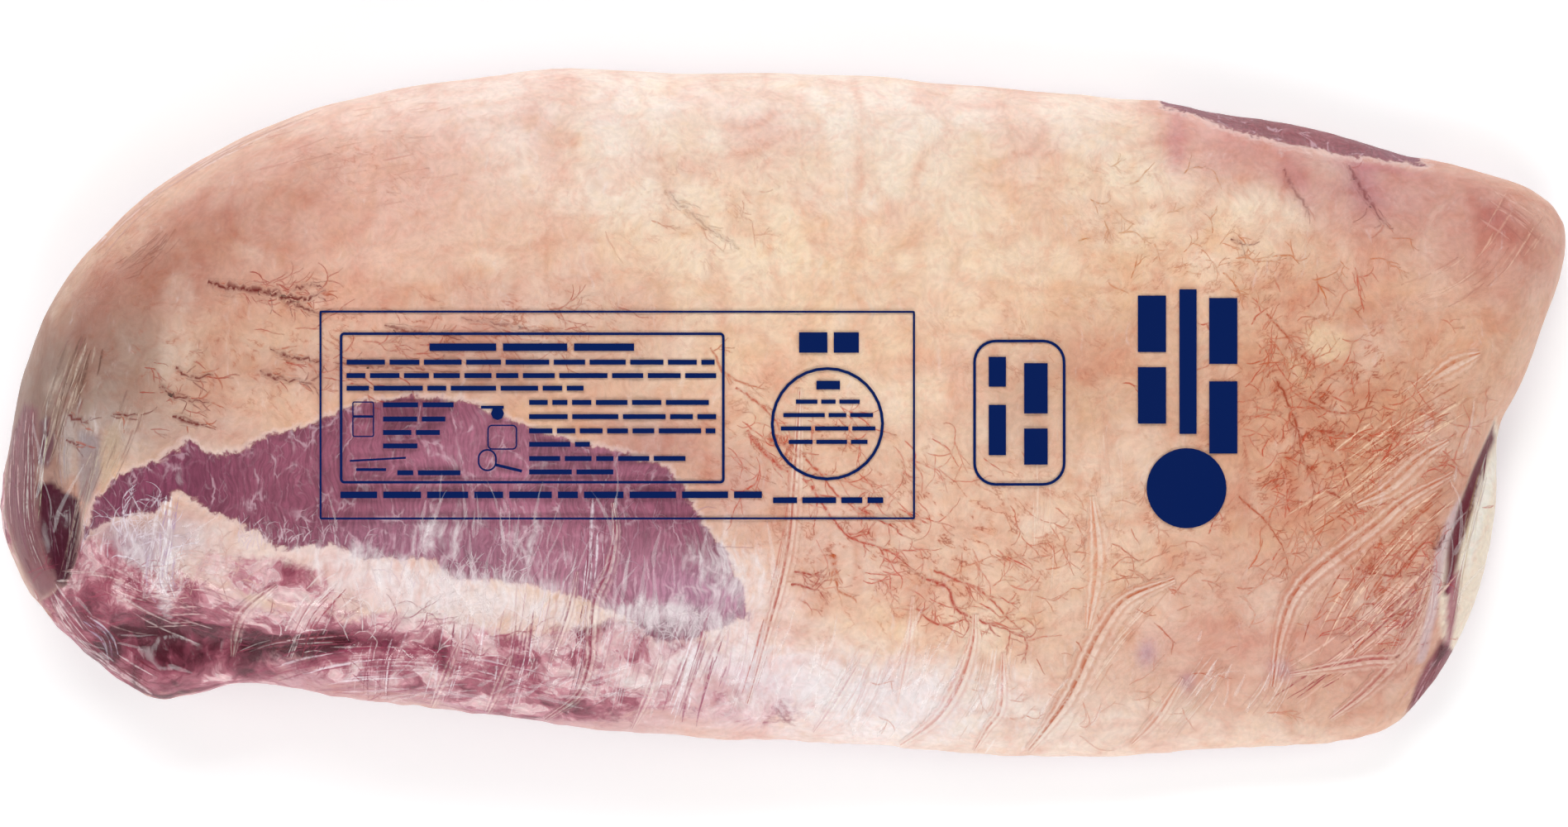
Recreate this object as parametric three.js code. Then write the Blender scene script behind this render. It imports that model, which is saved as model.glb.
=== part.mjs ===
// A whole beef brisket, sealed tight in clear shrink film and lying fat side up.
// The solid is the outer shape of the sealed piece: thick at the point, thin at the flat.
// Millimetres, +Z up. +X runs from the point to the flat, +Y towards the straighter long edge.
// The origin is the middle of the footprint's box, on the surface that the brisket rests on.
import * as THREE from 'three';
import { ImprovedNoise } from 'three/addons/math/ImprovedNoise.js';
import { mergeVertices } from 'three/addons/utils/BufferGeometryUtils.js';

// Driving dimensions
const LENGTH = 560;            // from the point end to the flat end
const WIDTH = 247;             // across the widest place
const POINT_THICKNESS = 80;    // at the crown of the thick end
const FLAT_THICKNESS = 44;     // near the thin end
const TAPER_FROM = -240;       // the thickness grows from this place near the flat, counted in -X
const TAPER_TO = 130;          // and is full from here on
const END_DROP = 12;           // how much the top falls again from the crown to the point end
const END_DROP_FROM = 150;
const CROWN_DROP = 13;         // how much lower the top is at the long edges than along the middle
const RIM_HEIGHT_SHARE = 0.4;  // the widest line lies this far up the local thickness

// The roll-over from the top to the widest line, and from there down to the resting face
const SHOULDER_RUN = 27;       // along the straighter long edge and round the flat end
const SHOULDER_EXTRA_SIDE = 34;  // more on the opposite long edge, which slopes away
const SHOULDER_EXTRA_POINT = 20;  // more round the point end
const UNDER_RUN = 20;

// The rings of the mesh close on a straight spine under the crown
const SPINE_HALF = 195;
const SPINE_Y = -4;

// The mesh's steps
const STRAIGHT_STEPS = 52;     // along each side of the spine
const FAN_STEPS = 40;          // round each end of the spine
const OUTLINE_STEPS = 1200;    // of the fine outline that the columns are cut from
const SHOULDER_STEPS = 8;
const CROWN_STEPS = 9;
const UNDER_STEPS = 5;
const MERGE_DISTANCE = 0.001;

// The outline seen from above, anticlockwise from the flat's lower corner
const OUTLINE = [
  [198, -117], [222, -110], [237, -92], [247, -70], [255, -33], [259, -3],
  [270, 27], [279, 52], [279, 68], [268, 80], [234, 91], [181, 106],
  [110, 114], [30, 120], [-50, 123], [-103, 121], [-156, 112], [-195, 100],
  [-228, 80], [-255, 53], [-271, 26], [-279, -5], [-280, -46], [-267, -70],
  [-249, -89], [-226, -103], [-192, -97], [-150, -102], [-85, -111], [0, -117],
  [92, -123], [150, -121],
];

// Soft swellings of the surface: centre, half sizes, turn in degrees and height
const SWELLINGS = [
  { at: [-200, -55], size: [30, 17], turn: -12, height: 5 },    // island of fat by the point corner
  { at: [-185, 50], size: [60, 45], turn: 20, height: 3 },      // crown of the point
  { at: [-95, -48], size: [70, 26], turn: -8, height: -3 },     // bared lean lies lower than the cap
  { at: [30, 45], size: [110, 40], turn: 0, height: 2 },
  { at: [190, -45], size: [60, 45], turn: 30, height: 2 },
  { at: [215, 62], size: [36, 22], turn: -15, height: -2 },
];

// Hollows that the film spans or dips into
const HOLLOWS = [
  { at: [-219, -82], size: [21, 9], turn: -6, depth: 9 },       // fold in the point corner
  { at: [-258, -42], size: [9, 19], turn: -12, depth: 7 },      // slit in the point end
  { at: [-259, -11], size: [5, 12], turn: -14, depth: 4 },
];

// Creases and steps: the line followed, half its width and its depth
const CREASES = [
  // the crevice along the sloping side, and the fold that runs up from it
  { path: [[-196, -86], [-178, -82], [-150, -80], [-131, -81]], half: 7, depth: 4 },
  { path: [[-180, -61], [-191, -70], [-196, -84]], half: 5, depth: 3 },
  // the cut face below the cap's edge at the flat end
  { path: [[255, -6], [246, -30], [241, -55], [233, -85], [226, -104]], half: 8, depth: 5 },
  // the lean that shows beyond the cap's edge
  { path: [[150, 109], [190, 100], [226, 92]], half: 6, depth: 2.5 },
  // the two deepest gathers of the film
  { path: [[134, -60], [114, -72], [102, -104], [87, -122]], half: 5, depth: 1.6 },
  { path: [[236, -10], [206, -42], [176, -68]], half: 5, depth: 1.2 },
];

// Slow unevenness of the whole surface: the size of its lumps and how far they stand out
const UNEVENNESS = [
  { lump: 62, height: 2.6 },
  { lump: 27, height: 1.1 },
];

// The relief is full where a normal points up by more than the second, and nil below the first
const RELIEF_FADE = [-0.5, 0.2];

const { clamp, smoothstep, degToRad, lerp } = THREE.MathUtils;
const noise = new ImprovedNoise();

function fineOutline() {
  const corners = OUTLINE.map(([x, y]) => new THREE.Vector3(x, y, 0));
  const curve = new THREE.CatmullRomCurve3(corners, true, 'centripetal');
  return curve.getSpacedPoints(OUTLINE_STEPS);
}

// The top's height over the middle of the piece, before the edges roll over
function crownHeight(x, y) {
  const towardsPoint = smoothstep(-x, TAPER_FROM, TAPER_TO);
  const endDrop = END_DROP * smoothstep(-x, END_DROP_FROM, LENGTH / 2);
  const along = lerp(FLAT_THICKNESS, POINT_THICKNESS, towardsPoint) - endDrop;
  const across = (y - SPINE_Y) / (WIDTH / 2);
  return along - CROWN_DROP * across * across;
}

// How far in from the outline the top starts to roll over, by the edge's outward direction
function shoulderRun(outward) {
  return SHOULDER_RUN
    + SHOULDER_EXTRA_SIDE * Math.max(0, -outward.y)
    + SHOULDER_EXTRA_POINT * Math.max(0, -outward.x);
}

// 1 in the middle of an ellipse, falling smoothly to 0 at its edge
function ellipseFade(x, y, { at, size, turn }) {
  const angle = degToRad(turn);
  const dx = x - at[0];
  const dy = y - at[1];
  const u = (dx * Math.cos(angle) + dy * Math.sin(angle)) / size[0];
  const v = (dy * Math.cos(angle) - dx * Math.sin(angle)) / size[1];
  return Math.exp(-(u * u + v * v));
}

function distanceToPath(x, y, path) {
  let nearest = Infinity;
  for (let i = 0; i + 1 < path.length; i += 1) {
    const [ax, ay] = path[i];
    const bx = path[i + 1][0] - ax;
    const by = path[i + 1][1] - ay;
    const share = clamp(((x - ax) * bx + (y - ay) * by) / (bx * bx + by * by), 0, 1);
    nearest = Math.min(nearest, Math.hypot(x - ax - share * bx, y - ay - share * by));
  }
  return nearest;
}

// How far the surface stands out (or sinks, if negative) along its normal
function relief(x, y) {
  let height = 0;
  for (const swelling of SWELLINGS) {
    height += swelling.height * ellipseFade(x, y, swelling);
  }
  for (const hollow of HOLLOWS) {
    height -= hollow.depth * ellipseFade(x, y, hollow);
  }
  for (const { path, half, depth } of CREASES) {
    const away = distanceToPath(x, y, path) / half;
    height -= depth * Math.exp(-away * away);
  }
  for (const { lump, height: lumpHeight } of UNEVENNESS) {
    height += lumpHeight * noise.noise(x / lump, y / lump, lump);
  }
  return height;
}

// Where a ray from the spine leaves the outline, with the edge's outward direction there
function rayToOutline(outline, spine, direction) {
  for (let i = 0; i + 1 < outline.length; i += 1) {
    const start = outline[i].clone().sub(spine);
    const step = outline[i + 1].clone().sub(outline[i]);
    const turn = direction.x * step.y - direction.y * step.x;
    const share = (start.y * direction.x - start.x * direction.y) / -turn;
    const reach = (start.x * step.y - start.y * step.x) / turn;
    if (share >= 0 && share < 1 && reach > 0) {
      const outward = new THREE.Vector3(step.y, -step.x, 0).normalize();
      return { spine, reach, direction, outward };
    }
  }
  throw new Error('a ray from the spine misses the outline');
}

// One ray for each column, anticlockwise from the flat's end of the lower side
function columnRays() {
  const outline = fineOutline();
  const rays = [];
  const addRay = (x, angle) => {
    const spine = new THREE.Vector3(x, SPINE_Y, 0);
    const direction = new THREE.Vector3(Math.cos(angle), Math.sin(angle), 0);
    rays.push(rayToOutline(outline, spine, direction));
  };
  for (const end of [1, -1]) {
    for (let i = 0; i < FAN_STEPS; i += 1) {
      addRay(end * SPINE_HALF, Math.PI * (i / FAN_STEPS - end / 2));
    }
    for (let i = 0; i < STRAIGHT_STEPS; i += 1) {
      addRay(end * lerp(SPINE_HALF, -SPINE_HALF, i / STRAIGHT_STEPS), (end * Math.PI) / 2);
    }
  }
  return rays;
}

// A point on a ray, a distance in from the outline
function inFromEdge({ spine, reach, direction }, inset) {
  return spine.clone().addScaledVector(direction, reach - inset);
}

// The points of one column, from the spine over the crown and shoulder to the resting face
function columnPoints(ray) {
  const run = Math.min(shoulderRun(ray.outward), ray.reach / 2);
  const edge = inFromEdge(ray, 0);
  const rim = RIM_HEIGHT_SHARE * crownHeight(edge.x, edge.y);
  const points = [];
  for (let i = 0; i < CROWN_STEPS; i += 1) {
    const point = inFromEdge(ray, lerp(ray.reach, run, i / CROWN_STEPS));
    point.z = crownHeight(point.x, point.y);
    points.push(point);
  }
  for (let i = 0; i <= SHOULDER_STEPS; i += 1) {
    const angle = (Math.PI / 2) * (i / SHOULDER_STEPS);
    const point = inFromEdge(ray, run * (1 - Math.sin(angle)));
    point.z = lerp(rim, crownHeight(point.x, point.y), Math.cos(angle));
    points.push(point);
  }
  for (let i = 1; i <= UNDER_STEPS; i += 1) {
    const angle = (Math.PI / 2) * (i / UNDER_STEPS);
    const point = inFromEdge(ray, UNDER_RUN * (1 - Math.cos(angle)));
    point.z = rim * (1 - Math.sin(angle));
    points.push(point);
  }
  points.push(ray.spine.clone());
  return points;
}

// Two triangles for each cell between neighbouring columns; those on the spine may be empty
function skinIndex(columnCount, perColumn) {
  const index = [];
  for (let i = 0; i < columnCount; i += 1) {
    const here = i * perColumn;
    const next = ((i + 1) % columnCount) * perColumn;
    for (let ring = 0; ring + 1 < perColumn; ring += 1) {
      index.push(here + ring, here + ring + 1, next + ring + 1);
      index.push(here + ring, next + ring + 1, next + ring);
    }
  }
  return index;
}

// Join the columns' shared points on the spine and drop the triangles that this empties
function closeOnSpine(geometry) {
  const merged = mergeVertices(geometry, MERGE_DISTANCE);
  const index = Array.from(merged.getIndex().array);
  const kept = [];
  for (let i = 0; i < index.length; i += 3) {
    const [a, b, c] = index.slice(i, i + 3);
    if (a !== b && b !== c && c !== a) {
      kept.push(a, b, c);
    }
  }
  merged.setIndex(kept);
  return merged;
}

// Move each vertex along its normal by the relief, fading out towards the resting face
function addRelief(geometry) {
  geometry.computeVertexNormals();
  const position = geometry.getAttribute('position');
  const normal = geometry.getAttribute('normal');
  const point = new THREE.Vector3();
  const direction = new THREE.Vector3();
  for (let i = 0; i < position.count; i += 1) {
    point.fromBufferAttribute(position, i);
    direction.fromBufferAttribute(normal, i);
    const showing = smoothstep(direction.z, ...RELIEF_FADE);
    point.addScaledVector(direction, relief(point.x, point.y) * showing);
    position.setXYZ(i, point.x, point.y, point.z);
  }
}

// Fit the length and width exactly and put the origin under the middle of the box
function fitToSize(geometry) {
  geometry.computeBoundingBox();
  const { min, max } = geometry.boundingBox;
  geometry.translate(-(min.x + max.x) / 2, -(min.y + max.y) / 2, -min.z);
  geometry.scale(LENGTH / (max.x - min.x), WIDTH / (max.y - min.y), 1);
}

function sealedBrisketGeometry() {
  const columns = columnRays().map(columnPoints);
  const coordinates = columns.flat().flatMap((point) => point.toArray());
  const open = new THREE.BufferGeometry();
  open.setAttribute('position', new THREE.Float32BufferAttribute(coordinates, 3));
  open.setIndex(skinIndex(columns.length, columns[0].length));
  const geometry = closeOnSpine(open);
  addRelief(geometry);
  fitToSize(geometry);
  geometry.computeVertexNormals();
  return geometry;
}

const beefUnderFilm = new THREE.MeshStandardMaterial({
  color: 0xe6c2a4,
  roughness: 0.3,
  metalness: 0,
});

const sealedBrisket = new THREE.Mesh(sealedBrisketGeometry(), beefUnderFilm);
sealedBrisket.name = 'sealed_brisket';

const brisket = new THREE.Group();
brisket.add(sealedBrisket);

export default brisket;
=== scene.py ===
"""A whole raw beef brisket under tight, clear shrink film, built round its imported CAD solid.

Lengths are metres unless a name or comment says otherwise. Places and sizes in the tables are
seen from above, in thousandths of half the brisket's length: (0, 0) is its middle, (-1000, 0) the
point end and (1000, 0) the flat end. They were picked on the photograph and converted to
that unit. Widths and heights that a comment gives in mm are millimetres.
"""

import math

import bpy
import numpy as np
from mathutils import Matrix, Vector
from mathutils.bvhtree import BVHTree


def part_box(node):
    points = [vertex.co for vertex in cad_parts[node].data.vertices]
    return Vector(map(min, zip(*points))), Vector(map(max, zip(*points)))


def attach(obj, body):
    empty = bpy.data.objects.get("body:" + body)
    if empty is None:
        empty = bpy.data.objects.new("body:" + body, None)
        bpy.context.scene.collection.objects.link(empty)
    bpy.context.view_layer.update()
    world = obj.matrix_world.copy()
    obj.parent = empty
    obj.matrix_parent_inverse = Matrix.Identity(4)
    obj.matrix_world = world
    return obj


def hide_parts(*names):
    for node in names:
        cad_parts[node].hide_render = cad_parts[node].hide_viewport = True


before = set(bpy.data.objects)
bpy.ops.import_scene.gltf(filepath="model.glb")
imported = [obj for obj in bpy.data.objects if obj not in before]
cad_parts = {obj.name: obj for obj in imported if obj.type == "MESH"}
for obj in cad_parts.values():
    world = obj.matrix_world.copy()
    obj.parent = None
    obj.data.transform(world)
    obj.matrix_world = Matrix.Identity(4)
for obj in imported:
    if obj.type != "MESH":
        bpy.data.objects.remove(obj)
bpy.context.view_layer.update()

NODE = "sealed_brisket"
LOW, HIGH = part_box(NODE)
HALF = (HIGH.x - LOW.x) / 2
TOP = HIGH.z
UNIT = HALF / 1000            # what the tables' places and sizes are counted in
MM = 0.001

SKIN_STEP = 1.9 * MM          # the spacing of the skin's vertices
SKIN_SMOOTHING = 26           # rounds that take the CAD solid's facets away
FILM_GAP = 0.35 * MM          # the film lies at least this far outside the meat
INK_LIFT = 0.15 * MM
FLOOR_GAP = 0.2 * MM          # the meat and film stay this far above zero, the floor lies this far below

RANDOM = np.random.default_rng(7)


# ---------------------------------------------------------------- colours

def paint(code):
    """A colour written as six hex digits, as the linear values that shaders take."""
    shown = np.array([int(code[i:i + 2], 16) for i in (0, 2, 4)]) / 255
    return np.where(shown < 0.04045, shown / 12.92, ((shown + 0.055) / 1.055) ** 2.4)


def under_film(code):
    """The paint that looks like a colour once the film's shine lies over it."""
    return np.maximum(paint(code) - VEIL, 0.006)


VEIL = 0.010                  # what the film's shine adds to every colour under it

FAT_BASE = "e0b69b"
FAT_BALANCE = np.array([1.05, 1.12, 1.18])    # makes up for what the clouds and vessels take
LEAN_BASE = "8a5062"
DARK_BLOOD = "6c0c08"
BROWN_BLOOD = "a84424"
MILK_AND_SHEEN_WHITE = "f3e9ea"
NAVY = "001a54"

# Soft patches of colour on the fat, some of them painted light and shade as marked: place, half sizes,
# turn in degrees, colour and strength
FAT_PATCHES = [
    ((54, 211), (453, 158), 0, "efd2b5", 0.9),
    # The next two pale patches along the upper edge are partly the fat's colour and partly painted light
    # from above
    ((-51, 390), (633, 63), -1, "f4e0d0", 0.9),
    ((-346, 380), (242, 63), 0, "f0d9cd", 0.7),
    ((-536, 285), (232, 116), 15, "dfae9d", 0.85),
    # The next four darken the fat towards the point end's edge: partly its grey-brown colour, partly
    # painted shade where the surface falls away
    ((-736, 190), (179, 95), 40, "c08a78", 0.85),
    ((-884, 74), (116, 95), 60, "a37c6c", 0.85),
    ((-884, 0), (105, 47), 0, "a08a80", 0.7),
    ((-947, -105), (53, 116), 0, "8f6a68", 0.7),
    ((-684, 74), (127, 53), 0, "d2ac92", 0.7),
    ((-747, -21), (95, 47), 0, "c4a299", 0.6),
    ((-367, 127), (190, 63), 0, "cf9f90", 0.6),
    ((-199, 84), (127, 63), 0, "d3b29e", 0.5),
    ((54, 74), (211, 84), 0, "e9c2a3", 0.7),
    ((223, 95), (84, 74), 0, "efceb0", 0.7),
    ((307, 11), (95, 74), 0, "caa18a", 0.7),
    ((402, 74), (116, 95), 0, "dab093", 0.6),
    ((508, 200), (137, 63), 0, "e6bb99", 0.7),
    ((592, 227), (63, 53), 0, "efd4ba", 0.6),
    ((423, 327), (105, 58), 0, "f1dac5", 0.8),
    ((307, 316), (47, 63), 0, "e8c0aa", 0.6),
    ((560, 353), (95, 47), -10, "db9f94", 0.8),
    ((750, 290), (211, 84), -15, "c9938a", 0.85),
    ((908, 200), (95, 95), 0, "c58c7d", 0.8),
    ((697, 0), (232, 158), 0, "cc9274", 0.9),
    ((834, 84), (105, 74), 0, "d3a488", 0.6),
    ((645, -179), (158, 74), 0, "d5a288", 0.6),
    ((750, -285), (158, 105), 0, "cc9989", 0.7),
    ((529, -306), (148, 105), 0, "d9ad9b", 0.7),
    ((339, -137), (169, 95), 0, "e5bfa5", 0.8),
    ((54, -169), (116, 84), 0, "dcae9c", 0.7),
    ((-72, -95), (63, 53), 0, "cc9c90", 0.7),
    # The next four pale patches along the lower side are partly the fat's colour and partly painted
    # sheen of the film
    ((170, -285), (127, 53), 0, "f0cfb2", 0.8),
    ((118, -369), (211, 63), -4, "f2e1dd", 0.95),
    ((-9, -306), (84, 63), 0, "f0dcd8", 0.9),
    ((339, -401), (169, 37), 0, "f1dccd", 0.8),
    ((529, -411), (169, 37), 0, "ebccb9", 0.7),
    ((-726, -200), (116, 53), -10, "e3c1aa", 0.9),
    ((-494, -258), (179, 47), -12, "e8cdc8", 0.9),
    ((-652, -327), (158, 42), -5, "c48c97", 0.8),
    ((-367, -358), (253, 47), -8, "bf8d9d", 0.85),
    ((-199, -316), (95, 42), 0, "dba9b2", 0.7),
    ((-93, -358), (105, 53), -5, "e0bcc1", 0.8),
    ((-852, -306), (95, 47), -30, "9c6468", 0.8),
    ((-805, -350), (27, 13), -10, "ecd0b0", 0.7),
    ((-926, -211), (42, 42), 0, "b58c92", 0.6),
    ((-578, -206), (348, 47), -12, "e8d2cc", 0.9),
    # The next three darken the point end: partly its colour, partly painted shade of its sloping side
    ((-937, 32), (63, 95), 0, "86695c", 0.9),
    ((-800, 163), (105, 58), 40, "a8705e", 0.7),
    ((-842, 53), (95, 63), 0, "9a8072", 0.8),
    ((-842, -21), (74, 32), 0, "b39a8e", 0.6),
    ((-557, 53), (169, 42), 0, "c49080", 0.7),
    ((-367, 63), (105, 42), 0, "c09484", 0.6),
    ((-178, -42), (84, 42), 0, "b88078", 0.7),
    ((840, -105), (53, 127), -20, "c98f78", 0.7),
    ((-51, -253), (63, 53), 0, "e8c6be", 0.7),
    ((-241, 306), (137, 63), 0, "f0dccb", 0.7),
    ((86, 285), (127, 63), 0, "f0dac6", 0.6),
    ((455, 269), (84, 42), 0, "f2dcc6", 0.6),
    ((181, 11), (63, 84), 0, "efd2b8", 0.6),
    ((212, -190), (63, 63), 0, "e8c4ac", 0.5),
    ((-821, -163), (74, 42), 0, "a98a98", 0.9),
    ((502, 353), (15, 47), 0, "c98488", 0.55),
    ((647, 287), (15, 46), 25, "c48084", 0.5),
    ((729, 295), (25, 46), 20, "b87a80", 0.6),
    ((908, 251), (38, 23), -35, "b87470", 0.55),
    ((603, 255), (63, 38), -20, "f2dcc2", 0.7),
    ((469, -300), (15, 23), 0, "b48c9c", 0.6),
    ((520, -349), (11, 15), 0, "b88896", 0.6),
    ((629, -325), (13, 13), 0, "b88896", 0.5),
    ((750, 316), (63, 8.4), -12, "b8666c", 0.6),
]

# The same on the bared lean
LEAN_PATCHES = [
    ((-789, -95), (105, 63), 20, "80435a", 0.8),
    ((-547, -63), (137, 63), 0, "945468", 0.8),
    ((-346, -69), (211, 79), 0, "b27489", 0.8),
    ((-157, -127), (84, 63), 0, "965a6e", 0.8),
    ((-273, -211), (200, 63), 0, "b47e90", 0.8),
    ((-473, -169), (127, 42), 0, "a9778b", 0.6),
    ((-104, -232), (74, 42), 0, "b98aa0", 0.8),
    ((645, 369), (169, 63), -8, "8c4a50", 0.9),
]

# White haze of thin membrane and of film that stands off the meat, and painted sheen where the film
# mirrors light, most of all along the lower side
MEMBRANE_AND_SHEEN_PATCHES = [
    ((-810, -163), (53, 37), 0, 0.5),
    ((-776, -200), (15, 63), 0, 0.9),
    ((-441, -158), (53, 37), 0, 0.45),
    ((-452, -216), (190, 32), -8, 0.7),
    ((-262, -253), (137, 32), -5, 0.55),
    ((96, -358), (242, 53), -4, 0.6),
    ((-93, -306), (116, 42), 0, 0.55),
    ((-325, -148), (42, 63), 0, 0.35),
    ((-873, -32), (53, 63), 0, 0.25),
    ((-67, -200), (53, 74), 20, 0.6),
    ((-157, -264), (127, 27), -5, 0.75),
    ((-367, -211), (137, 19), -3, 0.5),
]

# Outlines of bared lean
LEAN_MAIN = [
    (-892, -163), (-877, -110), (-840, -76), (-794, -62), (-753, -33), (-724, -53),
    (-684, -42), (-636, -21), (-584, -5), (-536, 14), (-473, 23), (-410, 18),
    (-346, -5), (-283, -32), (-220, -47), (-157, -59), (-125, -90), (-104, -132),
    (-72, -174), (-51, -221), (-43, -261), (-120, -287), (-167, -290), (-204, -258),
    (-262, -234), (-315, -217), (-415, -211), (-441, -186), (-525, -186), (-569, -170),
    (-642, -172), (-671, -148), (-728, -121), (-771, -98), (-794, -123), (-853, -135),
]
LEAN_CRESCENT = [
    (481, 392), (518, 382), (564, 366), (598, 352), (659, 341), (707, 330), (755, 325),
    (824, 316), (792, 350), (676, 392), (560, 413), (487, 418),
]
LEAN_OUTLINES = [LEAN_MAIN, LEAN_CRESCENT]

# Places where fat, lean and membrane are torn through each other: place, half sizes, turn, share
TORN_PATCHES = [
    ((-410, -316), (348, 61), -8, 1.0),
    ((-789, -279), (185, 100), -20, 1.0),
    ((-652, -216), (127, 36), -20, 0.7),
    ((-884, -211), (74, 74), 0, 0.9),
    ((-979, -105), (27, 100), 0, 0.8),
    ((-199, -306), (137, 53), -5, 0.85),
    ((-51, -380), (148, 32), -3, 0.55),
]

# How pale the torn parts are, from -1 for dark red to 1 for nearly white; the two darkest, in the hollow
# and the crevice beside it, are partly painted shade
TONE_AND_HOLLOW_SHADE_PATCHES = [
    ((-784, -293), (84, 36), 0, -1.7),
    ((-610, -295), (127, 17), 5, -1.3),
    ((-410, -353), (274, 32), -8, -0.2),
    ((-842, -242), (105, 36), -15, -0.25),
    ((-494, -245), (179, 36), -10, 0.6),
    ((-726, -200), (84, 36), -10, 0.5),
    ((-910, -279), (63, 42), -30, -0.4),
    ((-304, -258), (74, 30), 0, -0.5),
    ((-199, -316), (116, 42), 0, 0.4),
    ((-72, -337), (95, 42), 0, 0.8),
    ((-979, -105), (32, 116), 0, 0.2),
    ((-821, -337), (95, 32), -25, -0.4),
]

# Where the fat's own small vessels show through, rising to the right or falling to the right
RISING_PATCHES = [
    ((708, -21), (158, 158), 0, 1.0),
    ((771, -211), (84, 95), 0, 0.9),
    ((508, -148), (158, 127), 0, 0.45),
    ((581, 179), (190, 74), 0, 0.45),
    ((-367, -337), (253, 53), 0, 0.4),
    ((-831, 190), (63, 53), 0, 0.5),
]
FALLING_PATCHES = [
    ((181, -169), (200, 116), 0, 0.9),
    ((12, -42), (116, 95), 0, 0.7),
    ((-410, 105), (274, 53), 0, 0.7),
    ((-705, 63), (169, 74), 0, 0.6),
    ((-93, 253), (148, 95), 0, 0.3),
    ((318, 84), (148, 84), 0, 0.35),
    ((455, 264), (127, 63), 0, 0.3),
    ((-536, 316), (84, 53), 0, 0.35),
]

# Plain areas of one colour, a few of them painted shade as marked: outline, colour, softness of the edge
# in mm and strength
SHAPES = [
    ([(910, -8), (929, -42), (921, -105), (904, -190), (887, -253), (864, -306), (840, -316),
     (837, -232), (843, -169), (875, -95)], "efe2cf", 1.2, 0.9),
    ([(914, -42), (904, -105), (887, -169), (872, -211), (877, -148), (894, -84)], "f1ece2", 1.2, 0.8),
    ([(909, -13), (887, -63), (864, -124), (852, -169), (843, -232), (851, -234), (866, -173),
     (881, -121), (900, -63), (911, -34)], "6a1030", 0.9, 1.0),
    ([(868, -101), (843, -143), (832, -173), (826, -232), (815, -278), (805, -316), (815, -316),
     (834, -257), (847, -190), (862, -137)], "d2b8bc", 0.8, 0.8),
    ([(851, -211), (845, -274), (837, -316), (847, -306), (860, -253), (864, -200)],
     "a0526a", 1.0, 0.8),
    ([(818, -316), (837, -287), (860, -304), (847, -329), (830, -361), (805, -392), (792, -388),
     (805, -350)], "7a2b42", 1.0, 0.9),
    ([(834, -290), (847, -297), (834, -316), (824, -329)], "4f1528", 0.8, 0.8),
    ([(662, 105), (687, 114), (714, 101), (719, 80), (693, 65), (666, 78)], "e9c9a9", 1.5, 0.8),
    ([(632, 80), (655, 67), (676, 32), (655, 40)], "e0b795", 1.5, 0.6),
    # The dark wedge and the small cavity above it at the point end: dark lean with painted shade in
    # their hollows
    ([(-952, -93), (-935, -86), (-918, -101), (-896, -110), (-894, -148), (-902, -181), (-916, -224),
     (-926, -219), (-939, -190), (-949, -153)], "4f1c30", 0.9, 1.0),
    ([(-950, -11), (-935, -5), (-930, -42), (-937, -69), (-952, -65)], "6b4450", 1.0, 0.85),
    ([(-920, 0), (-905, -5), (-903, -79), (-916, -84)], "b9a9a4", 1.2, 0.7),
    # A grey band of painted shade beside a fold at the point end
    ([(-899, -21), (-869, -32), (-865, -79), (-882, -118), (-897, -105)], "958a90", 1.5, 0.7),
    ([(-865, -21), (-844, -13), (-842, -63), (-867, -105)], "c4ab94", 1.5, 0.6),
    ([(-995, -63), (-987, -21), (-970, 13), (-952, 4), (-953, -105), (-945, -169), (-924, -224),
     (-947, -234), (-977, -185), (-995, -127)], "84545c", 1.5, 0.9),
]

# Lumps and dents of the meat: place, half sizes, turn and height in mm
LUMPS = [
    ((689, 90), (34, 27), 0, 1.0),
    ((-726, -200), (63, 42), -20, 2.0),
    ((-789, -290), (95, 36), -5, -3.0),
    ((-631, -291), (116, 9.5), 4, -2.5),
    ((-920, -153), (23, 63), 10, -3.5),
    ((-937, -32), (13, 42), 10, -1.5),
    ((877, -105), (11, 95), -22, -2.0),
    ((830, -306), (17, 32), -30, 1.5),
    ((-504, -253), (63, 27), 0, 1.0),
    ((-346, -285), (53, 25), 0, 1.0),
    ((560, 221), (74, 42), -10, 0.8),
    ((402, 337), (63, 42), 0, 0.8),
    ((318, 84), (53, 42), 0, 0.6),
    ((792, 264), (95, 27), -20, -0.8),
    ((929, 211), (23, 63), 0, 0.8),
]

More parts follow.
